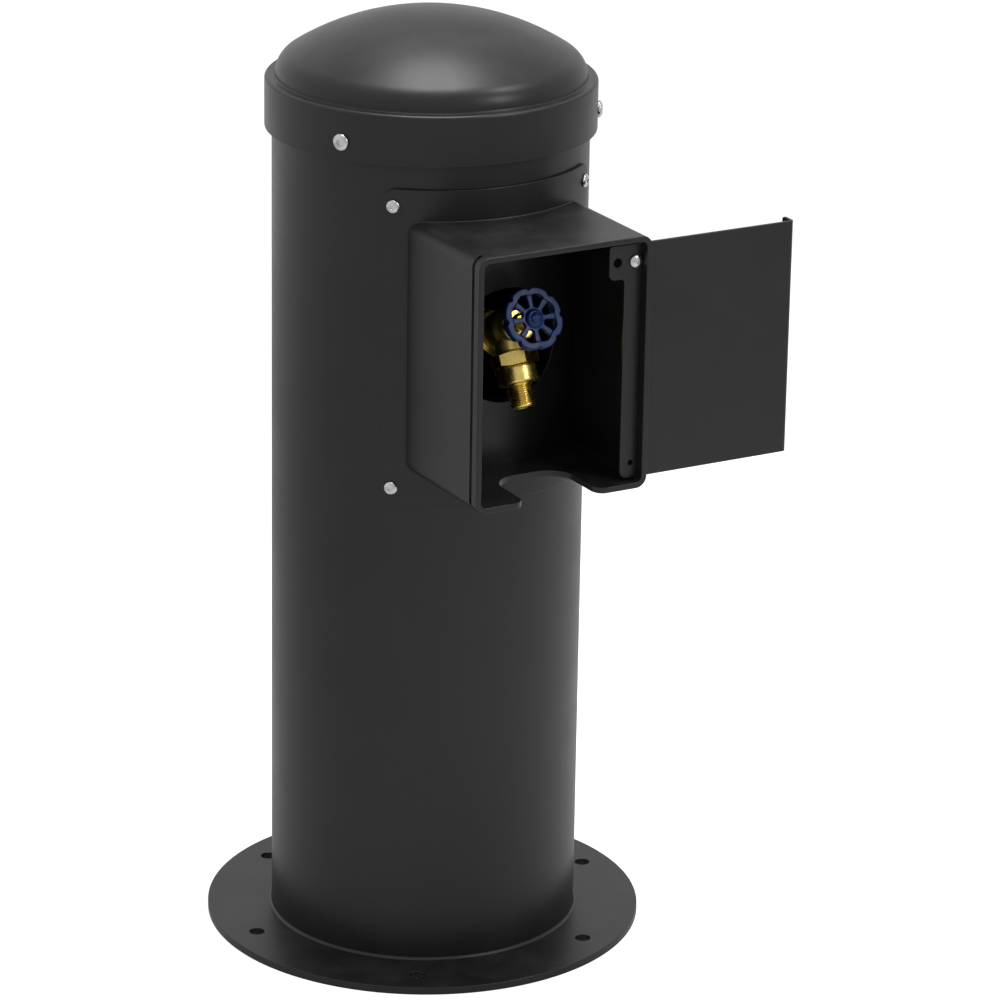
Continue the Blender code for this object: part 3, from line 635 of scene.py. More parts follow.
def plate(name, outlines, thickness, edge=0.0):
    """A flat plate in XY, centred on Z, with its edges rounded by the given radius."""
    routes = [[(x, y, 0) for x, y in outline] for outline in outlines]
    return curve_mesh(name, routes, True, dimensions="2D", fill_mode="BOTH", extrude=thickness / 2 - edge,
                      bevel_depth=edge, bevel_resolution=2, offset=-edge)


def bar(name, route, radius, fineness=8):
    """A round bar that follows a route, with closed ends."""
    return curve_mesh(name, [route], bevel_depth=radius, bevel_resolution=fineness, use_fill_caps=True)


def moved(mesh, place):
    mesh.transform(place)
    return mesh


def bent(name, mesh, rule):
    """The mesh with each point carried to where the rule says."""
    for vertex in mesh.vertices:
        vertex.co = rule(*vertex.co)
    return finished(name, mesh)


def block(name, low, high):
    work = bmesh.new()
    bmesh.ops.create_cube(work, size=1)
    bmesh.ops.scale(work, vec=[b - a for a, b in zip(low, high)], verts=work.verts)
    bmesh.ops.translate(work, vec=[(a + b) / 2 for a, b in zip(low, high)], verts=work.verts)
    return finish_mesh(name, work)


def rod(name, radius, start, end, place=Matrix(), sides=64):
    return moved(turned(name, oblong(0, radius, start, end), sides), place)


def shaped(mesh, cuts=(), joins=(), keep=(), round_cuts=0.0, crease=32):
    """The mesh after Boolean cuts, joins and intersections, with an optional rounding of sharp edges."""
    thing = bpy.data.objects.new(mesh.name, mesh)
    SCENE.collection.objects.link(thing)
    tools = []
    for operation, meshes in (("UNION", joins), ("INTERSECT", keep), ("DIFFERENCE", cuts)):
        for other in meshes:
            tool = bpy.data.objects.new(other.name, other)
            SCENE.collection.objects.link(tool)
            tools.append(tool)
            boolean = thing.modifiers.new("shape", "BOOLEAN")
            boolean.operation = operation
            boolean.object = tool
            boolean.solver = "EXACT"
    if round_cuts:
        bevel = thing.modifiers.new("round", "BEVEL")
        bevel.width = round_cuts
        bevel.segments = 2
        bevel.limit_method = "ANGLE"
        bevel.angle_limit = math.radians(50)
    made = finished(mesh.name, evaluated_mesh(thing, mesh.name), crease)
    for used in tools + [thing]:
        bpy.data.objects.remove(used)
    return made


def show(name, mesh, finish, nodes, place=None, body="post"):
    """Puts a finished piece in the scene, on its body, in the stead of the frame's nodes."""
    mesh.materials.clear()
    mesh.materials.append(finish)
    piece = bpy.data.objects.new(name, mesh)
    if place is not None:
        piece.matrix_world = place
    flatten = piece.modifiers.new("flat_faces_stay_flat", "WEIGHTED_NORMAL")
    flatten.keep_sharp = True
    flatten.weight = 80
    SCENE.collection.objects.link(piece)
    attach(piece, body)
    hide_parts(*nodes)
    print(name, "on", body, "-", len(mesh.polygons), "faces")


# %% [markdown]
# ## Base plate
# The foot is a disc of plate, 8 mm thick, with six anchor holes on one circle and a larger hole in its
# middle for the supply pipe. A cutter leaves a square edge, and the coat rounds it a little.

# %% Base plate
BASE_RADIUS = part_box("base_plate")[1].x
BASE_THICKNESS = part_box("base_plate")[1].z
POST_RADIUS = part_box("post_tube")[1].x
POST_FOOT, POST_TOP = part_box("post_tube")[0].z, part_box("post_tube")[1].z
POST_WALL = 0.00635
BASE_EDGE = 0.0007
ANCHOR_CIRCLE = 0.1986
ANCHOR_HOLE = 0.0080
ANCHOR_COUNT = 6
SUPPLY_HOLE = 0.0350
RISER_Y = (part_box("riser_pipe")[0].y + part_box("riser_pipe")[1].y) / 2
GAP = 0.0003


def polar(radius, angle, height):
    """A point round the post. The angle is in degrees from the box's side, growing towards +X."""
    turn = math.radians(angle)
    return Vector((radius * math.sin(turn), -radius * math.cos(turn), height))


def make_base():
    outlines = [circle(0, 0, BASE_RADIUS, 256)]
    for i in range(ANCHOR_COUNT):
        hole = polar(ANCHOR_CIRCLE, (i + 0.5) * 360 / ANCHOR_COUNT, 0)
        outlines.append(circle(hole.x, hole.y, ANCHOR_HOLE))
    outlines.append(circle(0, RISER_Y, SUPPLY_HOLE, 64))
    mesh = plate("base_disc", outlines, BASE_THICKNESS, BASE_EDGE)
    moved(mesh, Matrix.Translation((0, 0, BASE_THICKNESS / 2)))
    show("base_disc", mesh, POWDER_COAT, ["base_plate"])


make_base()

# %% [markdown]
# ## Weld round the foot
# The post is welded to the plate all the way round. A weld bead is a hollow fillet with a ripple for each
# step of the welder's hand. It was ground down before coating, and the coat fills the rest, so it is only a
# thin line with ripples a tenth of a millimetre high.

# %% Weld bead
WELD_LEG = 0.0026
WELD_HOLLOW = 0.22
WELD_RIPPLES = 300
RIPPLE_HEIGHT = 0.00010


def make_foot_weld():
    inner = POST_RADIUS + GAP
    foot = BASE_THICKNESS + GAP
    profile = []
    for i in range(7):
        share = i / 6
        sag = WELD_HOLLOW * math.sin(math.pi * share)
        out = inner + WELD_LEG * (share - sag * 0.7)
        height = foot + WELD_LEG * (1 - share - sag * 0.7)

        def radius(angle, out=out, share=share):
            ripple = abs(math.sin(angle * WELD_RIPPLES / 2 + 1.2 * share))
            return out + RIPPLE_HEIGHT * (ripple - 1) * math.sin(math.pi * min(1, share + 0.05))

        profile.append((radius, height))
    profile.append((inner, foot))
    mesh = turned("foot_weld", profile, WELD_RIPPLES * 6, closed=True, crease=50)
    show("foot_weld", mesh, POWDER_COAT, ["base_weld"])


make_foot_weld()

# %% [markdown]
# ## Post
# The post is a length of steel pipe. It has a round port behind the tap, and seven small holes for the
# rivet nuts that hold the cap and the box. The outline of its wall is a closed ring, so turning it gives a
# real tube.

# %% Post tube
CAP_SCREW_Z = (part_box("cap_screw_1")[0].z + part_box("cap_screw_1")[1].z) / 2
CAP_SCREW_ANGLES = (-60, 60, 180)
BOX_SCREWS = []
for number in range(1, 5):
    low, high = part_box(f"box_screw_{number}")
    middle = (low + high) / 2
    BOX_SCREWS.append((math.degrees(math.atan2(middle.x, -middle.y)), middle.z))
NUT_BARREL = 0.0062
PORT_RADIUS = 0.0595
PORT_Z = 0.6768


def facing_out(radius, angle, height, turn=0.0):
    """A place at that distance from the post's axis, with its Z pointing away from it."""
    return frame_along(polar(radius, angle, height), polar(1, angle, 0), turn)


def radial_hole(radius, angle, height):
    return rod("radial_hole", radius, -0.030, 0.030, facing_out(POST_RADIUS, angle, height), 32)


def port_cutter():
    return rod("port", PORT_RADIUS, -0.060, 0.060, frame_along((0, -0.150, PORT_Z), (0, -1, 0)), 128)


def make_post():
    wall = oblong(POST_RADIUS - POST_WALL, POST_RADIUS, POST_FOOT, POST_TOP)
    mesh = turned_ring("post_pipe", wall, 0.0008, 192)
    holes = [radial_hole(NUT_BARREL + GAP, angle, height) for angle, height in BOX_SCREWS]
    holes += [radial_hole(NUT_BARREL + GAP, angle, CAP_SCREW_Z) for angle in CAP_SCREW_ANGLES]
    mesh = shaped(mesh, cuts=[port_cutter(), *holes])
    show("post_pipe", mesh, POWDER_COAT, ["post_tube"])


make_post()

# %% [markdown]
# ## Cap
# The cap is a dished head: a shallow crown that turns down through a tight knuckle, a small ledge, and a
# skirt that slips over the post. Crown and knuckle are true arcs that meet without a kink, which keeps the
# highlight on the dome smooth.

# %% Domed cap
CAP_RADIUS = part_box("cap")[1].x
SKIRT_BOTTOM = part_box("cap")[0].z
SKIRT_TOP = 0.9175
CAP_WALL = 0.0050
CAP_HOLE = 0.0053
LEDGE_EDGE = 0.0035
DOME_RADIUS = 0.1590
DOME_KNUCKLE = 0.0284
DOME_CROWN = 0.2698


def dome_points(inset, crown_steps, knuckle_steps):
    """The dome's outline from its top outwards, moved inwards by the inset."""
    knuckle_centre = (DOME_RADIUS - DOME_KNUCKLE, SKIRT_TOP)
    reach = DOME_CROWN - DOME_KNUCKLE
    tangent = math.degrees(math.acos(knuckle_centre[0] / reach))
    crown_centre = (0, SKIRT_TOP - reach * math.sin(math.radians(tangent)))
    crown = arc(crown_centre, DOME_CROWN - inset, 90, tangent, crown_steps)
    knuckle = arc(knuckle_centre, DOME_KNUCKLE - inset, tangent, 0, knuckle_steps)
    return [(0, crown[0][1])] + crown[1:] + knuckle[1:]


def make_cap():
    outside = dome_points(0, 36, 16)
    foot = outside.pop()
    root = [(foot[0], foot[1] + 0.0018), (foot[0] + 0.0006, foot[1] + 0.0006), (foot[0] + 0.0018, foot[1])]
    ledge = arc((CAP_RADIUS - LEDGE_EDGE, SKIRT_TOP - LEDGE_EDGE), LEDGE_EDGE, 90, 0, 8)
    under = POST_TOP + GAP
    inside = CAP_RADIUS - CAP_WALL
    skirt = softened([(CAP_RADIUS, SKIRT_TOP - 0.010), (CAP_RADIUS, SKIRT_BOTTOM), (inside, SKIRT_BOTTOM),
                      (inside, under), (DOME_RADIUS - CAP_WALL, under)], 0.0010)
    profile = outside + root + ledge + skirt + dome_points(CAP_WALL, 20, 8)[::-1]
    mesh = turned("domed_cap", profile, 256)
    mesh = shaped(mesh, cuts=[radial_hole(CAP_HOLE, angle, CAP_SCREW_Z) for angle in CAP_SCREW_ANGLES])
    show("domed_cap", mesh, POWDER_COAT, ["cap"])


make_cap()

# %% [markdown]
# ## Screws and rivet nuts
# The screws have domed button heads with a hexagonal socket. Behind the wall each screw runs into a rivet
# nut: a thin sleeve with a flange that was pulled back against the inside of the pipe. One mesh serves each
# size.

# %% Fasteners
CAP_SCREW = {"head": 0.00875, "height": 0.0048, "shank": 0.0047, "length": 0.028, "socket": 0.0032}
BOX_SCREW = {"head": 0.00695, "height": 0.0040, "shank": 0.0039, "length": 0.022, "socket": 0.0026}
STOP_SCREW = {"head": 0.00695, "height": 0.0038, "shank": 0.0030, "length": 0.0105, "socket": 0.0024}
CAP_NUT_END = -0.020
BOX_NUT_END = -0.018
NUT_FLANGE = 0.0092
SADDLE_THICKNESS = 0.0030


def button_screw(name, head, height, shank, length, socket):
    """A button-head screw. The underside of its head is at height 0 and its thread runs below."""
    turns = (math.radians(90 * i / 10) for i in range(11))
    dome = [(head * math.sin(t), height * (0.20 + 0.80 * math.cos(t))) for t in turns]
    flat_top = height * 0.985
    top = [(0, flat_top)] + [(r, min(h, flat_top)) for r, h in dome if r > head * 0.42]
    neck = [(head, height * 0.10), (head * 0.985, 0), (shank, 0)]
    screw_thread = thread(shank, shank * 0.14, shank * 0.32, -0.0008, -length + 0.0006, 8)
    tail = [(shank * 0.80, -length), (0, -length)]
    screw = turned(name, top + neck + screw_thread + tail, 48)
    key = [(0, height * 2), (socket, height * 2), (socket, height * 0.38), (0, height * 0.18)]
    mouth = [(0, height * 1.2), (socket * 1.35, height * 1.2), (socket * 0.98, height * 0.90),
             (0, height * 0.90)]
    return shaped(screw, cuts=[turned("key", key, 6), turned("mouth", mouth, 48)])


def rivet_nut(name, bore, end):
    wall = -POST_WALL - GAP
    profile = [(bore, -GAP), (NUT_BARREL, -GAP), (NUT_BARREL, wall), (NUT_FLANGE, wall),
               (NUT_FLANGE, wall - 0.0020), (NUT_BARREL, wall - 0.0035), (NUT_BARREL, end), (bore, end)]
    return turned_ring(name, profile, 0.0005, 40)


def hex_nut(name, corner_radius, bore, height):
    """A hexagonal nut with turned chamfers, its foot at height 0."""
    hexagon = rod(name, corner_radius, 0, height, sides=6)
    flat = corner_radius * math.cos(math.pi / 6)
    rise = (corner_radius - flat) * 0.6
    past, reach = 0.0002, corner_radius * 1.02
    form = [(0, height + past), (flat * 0.96, height + past), (reach, height - rise), (reach, rise),
            (flat * 0.96, -past), (0, -past)]
    hole = rod("hole", bore, -height, height * 2, sides=48)
    return shaped(hexagon, keep=[turned("form", form, 48)], cuts=[hole])


def make_fasteners():
    """Each kind has its places, sizes, seat radius and nut's end, and each screw stopped at its own turn."""
    saddle_face = POST_RADIUS + SADDLE_THICKNESS + 2 * GAP
    cap_places = [(angle, CAP_SCREW_Z) for angle in CAP_SCREW_ANGLES]
    for kind, places, sizes, reach, nut_end, first, more in (
        ("cap", cap_places, CAP_SCREW, CAP_RADIUS + GAP, CAP_NUT_END, 0.2, 1.0),
        ("box", BOX_SCREWS, BOX_SCREW, saddle_face, BOX_NUT_END, 0.5, 1.3),
    ):
        screw = button_screw(f"{kind}_screw_mesh", **sizes)
        nut = rivet_nut(f"{kind}_nut_mesh", sizes["shank"] + GAP, nut_end)
        for i, (angle, height) in enumerate(places):
            seat = facing_out(reach, angle, height, first + more * i)
            wall = facing_out(POST_RADIUS, angle, height)
            show(f"{kind}_button_screw_{i + 1}", screw.copy(), STAINLESS, [f"{kind}_screw_{i + 1}"], seat)
            show(f"{kind}_rivet_nut_{i + 1}", nut.copy(), ZINC_PIPE, [f"{kind}_nut_{i + 1}"], wall)


make_fasteners()

# %% [markdown]
# ## Saddle plate
# The box is carried by a plate rolled to hug the post. It is made as in a workshop: cut flat with its
# rounded corners and its holes, and then rolled. Before rolling, the flat mesh is sliced into narrow
# strips, because a mesh bends only where it has points.

# %% Saddle plate
SADDLE_HALF_WIDTH = 0.1152
SADDLE_BOTTOM, SADDLE_TOP = 0.5120, 0.8416
SADDLE_MIDDLE = POST_RADIUS + GAP + SADDLE_THICKNESS / 2
SADDLE_CORNER = 0.0120
SADDLE_HOLE = 0.0045
SADDLE_EDGE = 0.0006


def sliced(mesh, start, end, count):
    """The mesh with extra points where planes across X cut it."""
    work = bmesh.new()
    work.from_mesh(mesh)
    for i in range(count + 1):
        spot = (start + (end - start) * i / count, 0, 0)
        everything = list(work.verts) + list(work.edges) + list(work.faces)
        bmesh.ops.bisect_plane(work, geom=everything, dist=0.0000005, plane_co=spot, plane_no=(1, 0, 0))
    work.to_mesh(mesh)
    work.free()
    return mesh


def unrolled(x):
    return SADDLE_MIDDLE * math.asin(x / SADDLE_MIDDLE)


def rolled(along, height, out):
    """Where a point of the flat saddle lies once it is rolled."""
    return polar(SADDLE_MIDDLE + out, math.degrees(along / SADDLE_MIDDLE), height)


def make_saddle():
    half = unrolled(SADDLE_HALF_WIDTH)
    outlines = [rounded_rectangle(-half, half, SADDLE_BOTTOM, SADDLE_TOP, SADDLE_CORNER)]
    outlines.append([(unrolled(x), z) for x, z in circle(0, PORT_Z, PORT_RADIUS, 128)])
    for angle, height in BOX_SCREWS:
        outlines.append(circle(SADDLE_MIDDLE * math.radians(angle), height, SADDLE_HOLE, 24))
    flat = sliced(plate("saddle_plate", outlines, SADDLE_THICKNESS, SADDLE_EDGE), -half, half, 90)
    show("saddle_plate", bent("saddle_plate", flat, rolled), POWDER_COAT, ["tap_box"])


make_saddle()

# %% [markdown]
# ## Box walls
# Four walls run forward from the saddle, bent from one strip so that the corners are round. A curve with
# two outlines gives them at once, with a rounded rim. Then the back is cut to the post's curve, a slot is
# cut down each side for the door, and a round-ended notch in the floor lets the hose out.

# %% Tap box
BOX_HALF_WIDTH = 0.0975
BOX_BOTTOM, BOX_TOP = 0.5470, 0.8090
BOX_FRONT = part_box("tap_box")[0].y
BOX_WALL = 0.0060
BOX_CORNER = 0.0120
NOTCH_HALF_WIDTH = 0.0410
NOTCH_BACK = -0.2045
NOTCH_CORNER = 0.0280
NOTCH_LIP = 0.0130
SLOT_Y = -0.2677
SLOT_WIDTH = 0.0050
SLOT_DEPTH = 0.0095
WALLS_BACK = -0.100
DOOR_BOTTOM, DOOR_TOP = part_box("door")[0].z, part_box("door")[1].z
FACING = Matrix.Rotation(math.pi / 2, 4, "X")


def notch_outline():
    """The floor's notch: round corners at the back, and rounded lips where it opens at the front."""
    corner, lip = NOTCH_HALF_WIDTH - NOTCH_CORNER, NOTCH_HALF_WIDTH + NOTCH_LIP
    back, front = NOTCH_BACK - NOTCH_CORNER, BOX_FRONT + NOTCH_LIP
    outline = arc((corner, back), NOTCH_CORNER, 0, 90, 16) + arc((-corner, back), NOTCH_CORNER, 90, 180, 16)
    outline += arc((-lip, front), NOTCH_LIP, 0, -90, 6)
    outline += [(-lip, BOX_FRONT - 0.01), (lip, BOX_FRONT - 0.01)]
    return outline + arc((lip, front), NOTCH_LIP, 270, 180, 6)


def make_walls():
    outer = rounded_rectangle(-BOX_HALF_WIDTH, BOX_HALF_WIDTH, BOX_BOTTOM, BOX_TOP, BOX_CORNER)
    half = BOX_HALF_WIDTH - BOX_WALL
    inner = rounded_rectangle(-half, half, BOX_BOTTOM + BOX_WALL, BOX_TOP - BOX_WALL, BOX_CORNER - BOX_WALL)
    place = Matrix.Translation((0, (BOX_FRONT + WALLS_BACK) / 2, 0)) @ FACING
    walls = moved(plate("box_walls", [outer, inner], WALLS_BACK - BOX_FRONT, 0.0009), place)
    cuts = [rod("saddle_curve", SADDLE_MIDDLE, 0.45, 0.90, sides=256)]
    for side in (-1, 1):
        near, far = sorted((side * (BOX_HALF_WIDTH - SLOT_DEPTH), side * (BOX_HALF_WIDTH + 0.010)))
        low = (near, SLOT_Y - SLOT_WIDTH / 2, DOOR_BOTTOM - 0.0005)
        cuts.append(block("slot", low, (far, SLOT_Y + SLOT_WIDTH / 2, BOX_TOP + 0.010)))
    notch = plate("notch", [notch_outline()], 3 * BOX_WALL)
    cuts.append(moved(notch, Matrix.Translation((0, 0, BOX_BOTTOM))))
    show("box_walls", shaped(walls, cuts=cuts, round_cuts=0.0006), POWDER_COAT, ["tap_box"])


make_walls()

# %% [markdown]
# ## Seam round the box
# A ground weld joins the walls to the saddle. It is a thin bar whose line is the box's outline laid on the
# post's curve, half sunk into the corner, so that only a soft fillet of it is seen.

# %% Seam weld
SEAM_RADIUS = 0.0012


def make_seam():
    outline = rounded_rectangle(-BOX_HALF_WIDTH, BOX_HALF_WIDTH, BOX_BOTTOM, BOX_TOP, BOX_CORNER, 14)
    loop = []
    for i, (x, z) in enumerate(outline):
        next_x, next_z = outline[(i + 1) % len(outline)]
        steps = max(1, round(math.hypot(next_x - x, next_z - z) / 0.003))
        for k in range(steps):
            loop.append((x + (next_x - x) * k / steps, z + (next_z - z) * k / steps))
    reach = SADDLE_MIDDLE + SADDLE_THICKNESS / 2
    route = [(x, -math.sqrt(reach * reach - x * x), z) for x, z in loop]
    mesh = curve_mesh("seam_weld", [route], True, bevel_depth=SEAM_RADIUS, bevel_resolution=4)
    show("seam_weld", mesh, POWDER_COAT, ["tap_box"])


make_seam()

# %% [markdown]
# ## Sliding door
# The door is a sheet panel. Its leading end has a tab with the padlock's hole, and its other end is folded
# back as a pull. It is cut flat and then folded, as sheet metal is: points past the fold's start are
# carried round an arc, and those past its end run straight on.

# %% Door
DOOR_LOW, DOOR_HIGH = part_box("door")
DOOR_THICKNESS = 0.0030
DOOR_BEND = 0.0050
DOOR_EDGE = 0.0720
TAB_END = DOOR_LOW.x
TAB_BOTTOM = 0.7640
TAB_CORNER = 0.0070
DOOR_CORNER = 0.0030
STEP_CORNER = 0.0040
FOOT_CORNER = 0.0080
PADLOCK_HOLE = (0.0640, 0.7815, 0.00475)
STOP_LOW, STOP_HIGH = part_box("door_stop_screw")
STOP_X, STOP_Z = (STOP_LOW.x + STOP_HIGH.x) / 2, (STOP_LOW.z + STOP_HIGH.z) / 2
STOP_HOLE = (STOP_X, STOP_Z, 0.0034)
SPARE_HOLE = (STOP_X, 0.5712, 0.0030)
STOP_NUT_HEIGHT = 0.0050
FOLD_START = DOOR_HIGH.x - DOOR_BEND
FOLD_RADIUS = DOOR_BEND - DOOR_THICKNESS / 2
FOLD_LENGTH = FOLD_RADIUS * math.pi / 2


def folded(along, height, out):
    """Where a point of the flat panel lies once its end is folded back."""
    turn = min(max((along - FOLD_START) / FOLD_RADIUS, 0), math.pi / 2)
    reach = FOLD_RADIUS + out
    past = max(along - FOLD_START - FOLD_LENGTH, 0)
    middle = DOOR_LOW.y + DOOR_THICKNESS / 2
    x = min(along, FOLD_START) + reach * math.sin(turn)
    return (x, middle + FOLD_RADIUS - reach * math.cos(turn) + past, height)


def make_door():
    flange = DOOR_HIGH.y - DOOR_LOW.y - DOOR_BEND
    end = FOLD_START + FOLD_LENGTH + flange
    outline = arc((end - DOOR_CORNER, DOOR_TOP - DOOR_CORNER), DOOR_CORNER, 0, 90, 6)
    outline += arc((TAB_END + DOOR_CORNER, DOOR_TOP - DOOR_CORNER), DOOR_CORNER, 90, 180, 6)
    outline += arc((TAB_END + TAB_CORNER, TAB_BOTTOM + TAB_CORNER), TAB_CORNER, 180, 270, 8)
    outline += arc((DOOR_EDGE - STEP_CORNER, TAB_BOTTOM - STEP_CORNER), STEP_CORNER, 90, 0, 6)
    outline += arc((DOOR_EDGE + FOOT_CORNER, DOOR_BOTTOM + FOOT_CORNER), FOOT_CORNER, 180, 270, 8)
    outline += arc((end - DOOR_CORNER, DOOR_BOTTOM + DOOR_CORNER), DOOR_CORNER, 270, 360, 6)
    holes = [circle(*PADLOCK_HOLE, 40), circle(*STOP_HOLE, 32), circle(*SPARE_HOLE, 32)]
    flat = plate("sliding_panel", [outline, *holes], DOOR_THICKNESS, 0.0004)
    flat = sliced(flat, FOLD_START, FOLD_START + FOLD_LENGTH, 12)
    mesh = bent("sliding_panel", flat, folded)
    show("sliding_panel", mesh, POWDER_COAT, ["door"], body="sliding_door")


def make_door_stop():
    front = DOOR_LOW.y - GAP
    seat = frame_along((STOP_X, front, STOP_Z), (0, -1, 0), 0.35)
    screw = button_screw("stop_screw_mesh", **STOP_SCREW)
    show("door_stop_button", screw, STAINLESS, ["door_stop_screw"], seat, "sliding_door")
    nut = hex_nut("stop_nut_mesh", 0.0060, STOP_SCREW["shank"] + GAP, STOP_NUT_HEIGHT)
    back = frame_along((STOP_X, front + DOOR_THICKNESS + 2 * GAP + STOP_NUT_HEIGHT, STOP_Z), (0, -1, 0))
    show("door_stop_lock_nut", nut, STAINLESS, ["door_stop_nut"], back, "sliding_door")


make_door()
make_door_stop()

# %% [markdown]
# ## The tap's lines
# The tap leans: its stem points forward and up, and its outlet down and forward, square to the stem. The
# frame's joints already know both lines and the point where they cross, so they are read from there.

# %% Lines of the tap
TAP_CENTRE = Vector(JOINTS["wheel_turn"]["pos_m"])
STEM_AXIS = Vector(JOINTS["wheel_turn"]["axis"]).normalized()
OUTLET_AXIS = Vector(JOINTS["poppet_slide"]["axis"]).normalized()
STEM = frame_along(TAP_CENTRE, STEM_AXIS)
OUTLET = frame_along(TAP_CENTRE, OUTLET_AXIS)
NIPPLE_LOW, NIPPLE_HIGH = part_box("inlet_nipple")
INLET_HEIGHT = (NIPPLE_LOW.z + NIPPLE_HIGH.z) / 2
INLET = frame_along((0, TAP_CENTRE.y + 0.0243, INLET_HEIGHT), (0, 1, 0))
STEM_RADIUS = 0.0048
SEAT_AT = -0.0145
CHAMBER_RADIUS = 0.0135
BARREL_END = 0.0200
WHEEL_AT = 0.0563
OUTLET_RADIUS = 0.0133
WATERWAY = 0.0080
PIPE_RADIUS = (NIPPLE_HIGH.x - NIPPLE_LOW.x) / 2
PIPE_BORE = 0.0105
print("stem leans", round(math.degrees(math.asin(STEM_AXIS.z)), 1), "degrees")

# %% [markdown]
# ## Castings
# In a casting every inside corner has a soft fillet. The trick is to join plain turned forms, remesh the
# result with small even cells, and smooth it: the corners melt together like wax. The bores are cut
# afterwards, because they were drilled and are crisp.

# %% Casting helper


def cast(name, solids, cell, rounds):
    """Plain forms melted into one casting."""
    body = bpy.data.objects.new(name, shaped(solids[0], joins=solids[1:]))
    SCENE.collection.objects.link(body)
    grid = body.modifiers.new("cells", "REMESH")
    grid.mode = "VOXEL"
    grid.voxel_size = cell
    smooth = body.modifiers.new("melt", "SMOOTH")
    smooth.factor = 0.5
    smooth.iterations = rounds
    mesh = evaluated_mesh(body, name)
    bpy.data.objects.remove(body)
    return mesh


print("casting helper ready")

# %% [markdown]
# ## Tap body
# The brass body is a round barrel with a ring flange, a neck for the outlet and a level inlet that ends in
# a hexagon for the wrench. Its inside is drilled: a chamber for the washer, the seat, and the two
# waterways.

# %% Tap body
BARREL = [(0, 0.0185), (0.0155, 0.0185), (0.0162, 0.0120), (0.0200, 0.0060), (0.0218, -0.0040),
          (0.0208, -0.0150), (0.0190, -0.0205), (0.0238, -0.0217), (0.0238, -0.0268), (0.0188, -0.0290),
          (0.0160, -0.0330), (0, -0.0345)]
NECK = [(0, 0.0230), (0.0160, 0.0230), (0.0168, 0.0180), (0.0185, 0.0050), (0, 0)]
INLET_STUB = oblong(0, 0.0163, -0.0020, 0.0220)
WRENCH_HEXAGON = softened(oblong(0, 0.0200, 0.0120, 0.0280), 0.0006)
SPIGOT = softened(oblong(0, OUTLET_RADIUS, 0.0150, 0.0360), 0.0005)
BARREL_FACE = softened(oblong(0, 0.0155, 0.0160, BARREL_END), 0.0006)
GROOVE_STARTS = (-0.0085, -0.0185)
GROOVE_FLOOR = 0.0206
GROOVE_WIDTH = 0.0014


def make_tap_body():
    solids = [moved(turned("tap_casting", BARREL), STEM), moved(turned("neck", NECK), OUTLET),
              moved(turned("inlet", INLET_STUB), INLET)]
    mesh = cast("tap_casting", solids, 0.00055, 4)
    joins = [moved(turned("wrench_hexagon", WRENCH_HEXAGON, 6), INLET),
             moved(turned("spigot", SPIGOT, 64), OUTLET), moved(turned("barrel_face", BARREL_FACE), STEM)]
    cuts = [rod("chamber", CHAMBER_RADIUS, SEAT_AT, 0.030, STEM), rod("seat", WATERWAY, -0.0300, 0, STEM),
            rod("waterway", WATERWAY, 0, 0.050, OUTLET), rod("inlet_bore", WATERWAY, 0, 0.040, INLET),
            rod("inlet_socket", PIPE_RADIUS + GAP, 0.0120, 0.0400, INLET)]
    for start in GROOVE_STARTS:
        groove = oblong(GROOVE_FLOOR, 0.0300, start, start + GROOVE_WIDTH)
        cuts.append(moved(turned("groove", groove, closed=True), STEM))
    show("tap_casting", shaped(mesh, joins=joins, cuts=cuts, crease=40), CAST_BRASS, ["tap_body"])


make_tap_body()

# %% [markdown]
# ## Stem, packing and washer
# The stem carries the washer on its foot, held by a small screw, and passes through a ring of packing that
# the gland nut presses down. Its middle is threaded, so that turning the wheel lifts the washer off its
# seat.

# %% Stem group
STEM_TOP = WHEEL_AT + 0.0060
STEM_CREST = 0.0075
STEM_FOOT = 0.0090
STEM_PITCH = 0.00254
WASHER_FOOT = SEAT_AT + GAP
WASHER_TOP = WASHER_FOOT + 0.0040
PACKING_FOOT = 0.0160
STEM_BORE = STEM_RADIUS + GAP
GLAND_COLLAR = [(0, 0.0150), (0.0085, 0.0145), (0.0098, 0.0120), (0.0115, 0.0088), (0, 0.0088)]


def make_stem():
    profile = softened([(0, STEM_TOP), (STEM_RADIUS, STEM_TOP), (STEM_RADIUS, 0.0078), (STEM_CREST, 0.0062)],
                       0.0005)
    profile += thread(STEM_CREST, 0.0009, STEM_PITCH, 0.0058, -0.0008)
    profile += softened([(STEM_CREST, -0.0010), (STEM_RADIUS, -0.0030), (STEM_FOOT, WASHER_TOP + 0.0040),
                         (STEM_FOOT, WASHER_TOP + GAP), (0, WASHER_TOP + GAP)], 0.0005)
    top_hole = rod("top_hole", 0.0026, STEM_TOP - 0.0120, STEM_TOP + 0.01, sides=32)
    foot_hole = rod("foot_hole", 0.0029, -0.020, WASHER_TOP + 0.0090, sides=32)
    mesh = shaped(turned("rising_stem", profile, 64), cuts=[top_hole, foot_hole])
    show("rising_stem", mesh, TURNED_BRASS, ["valve_stem"], STEM, "spindle")


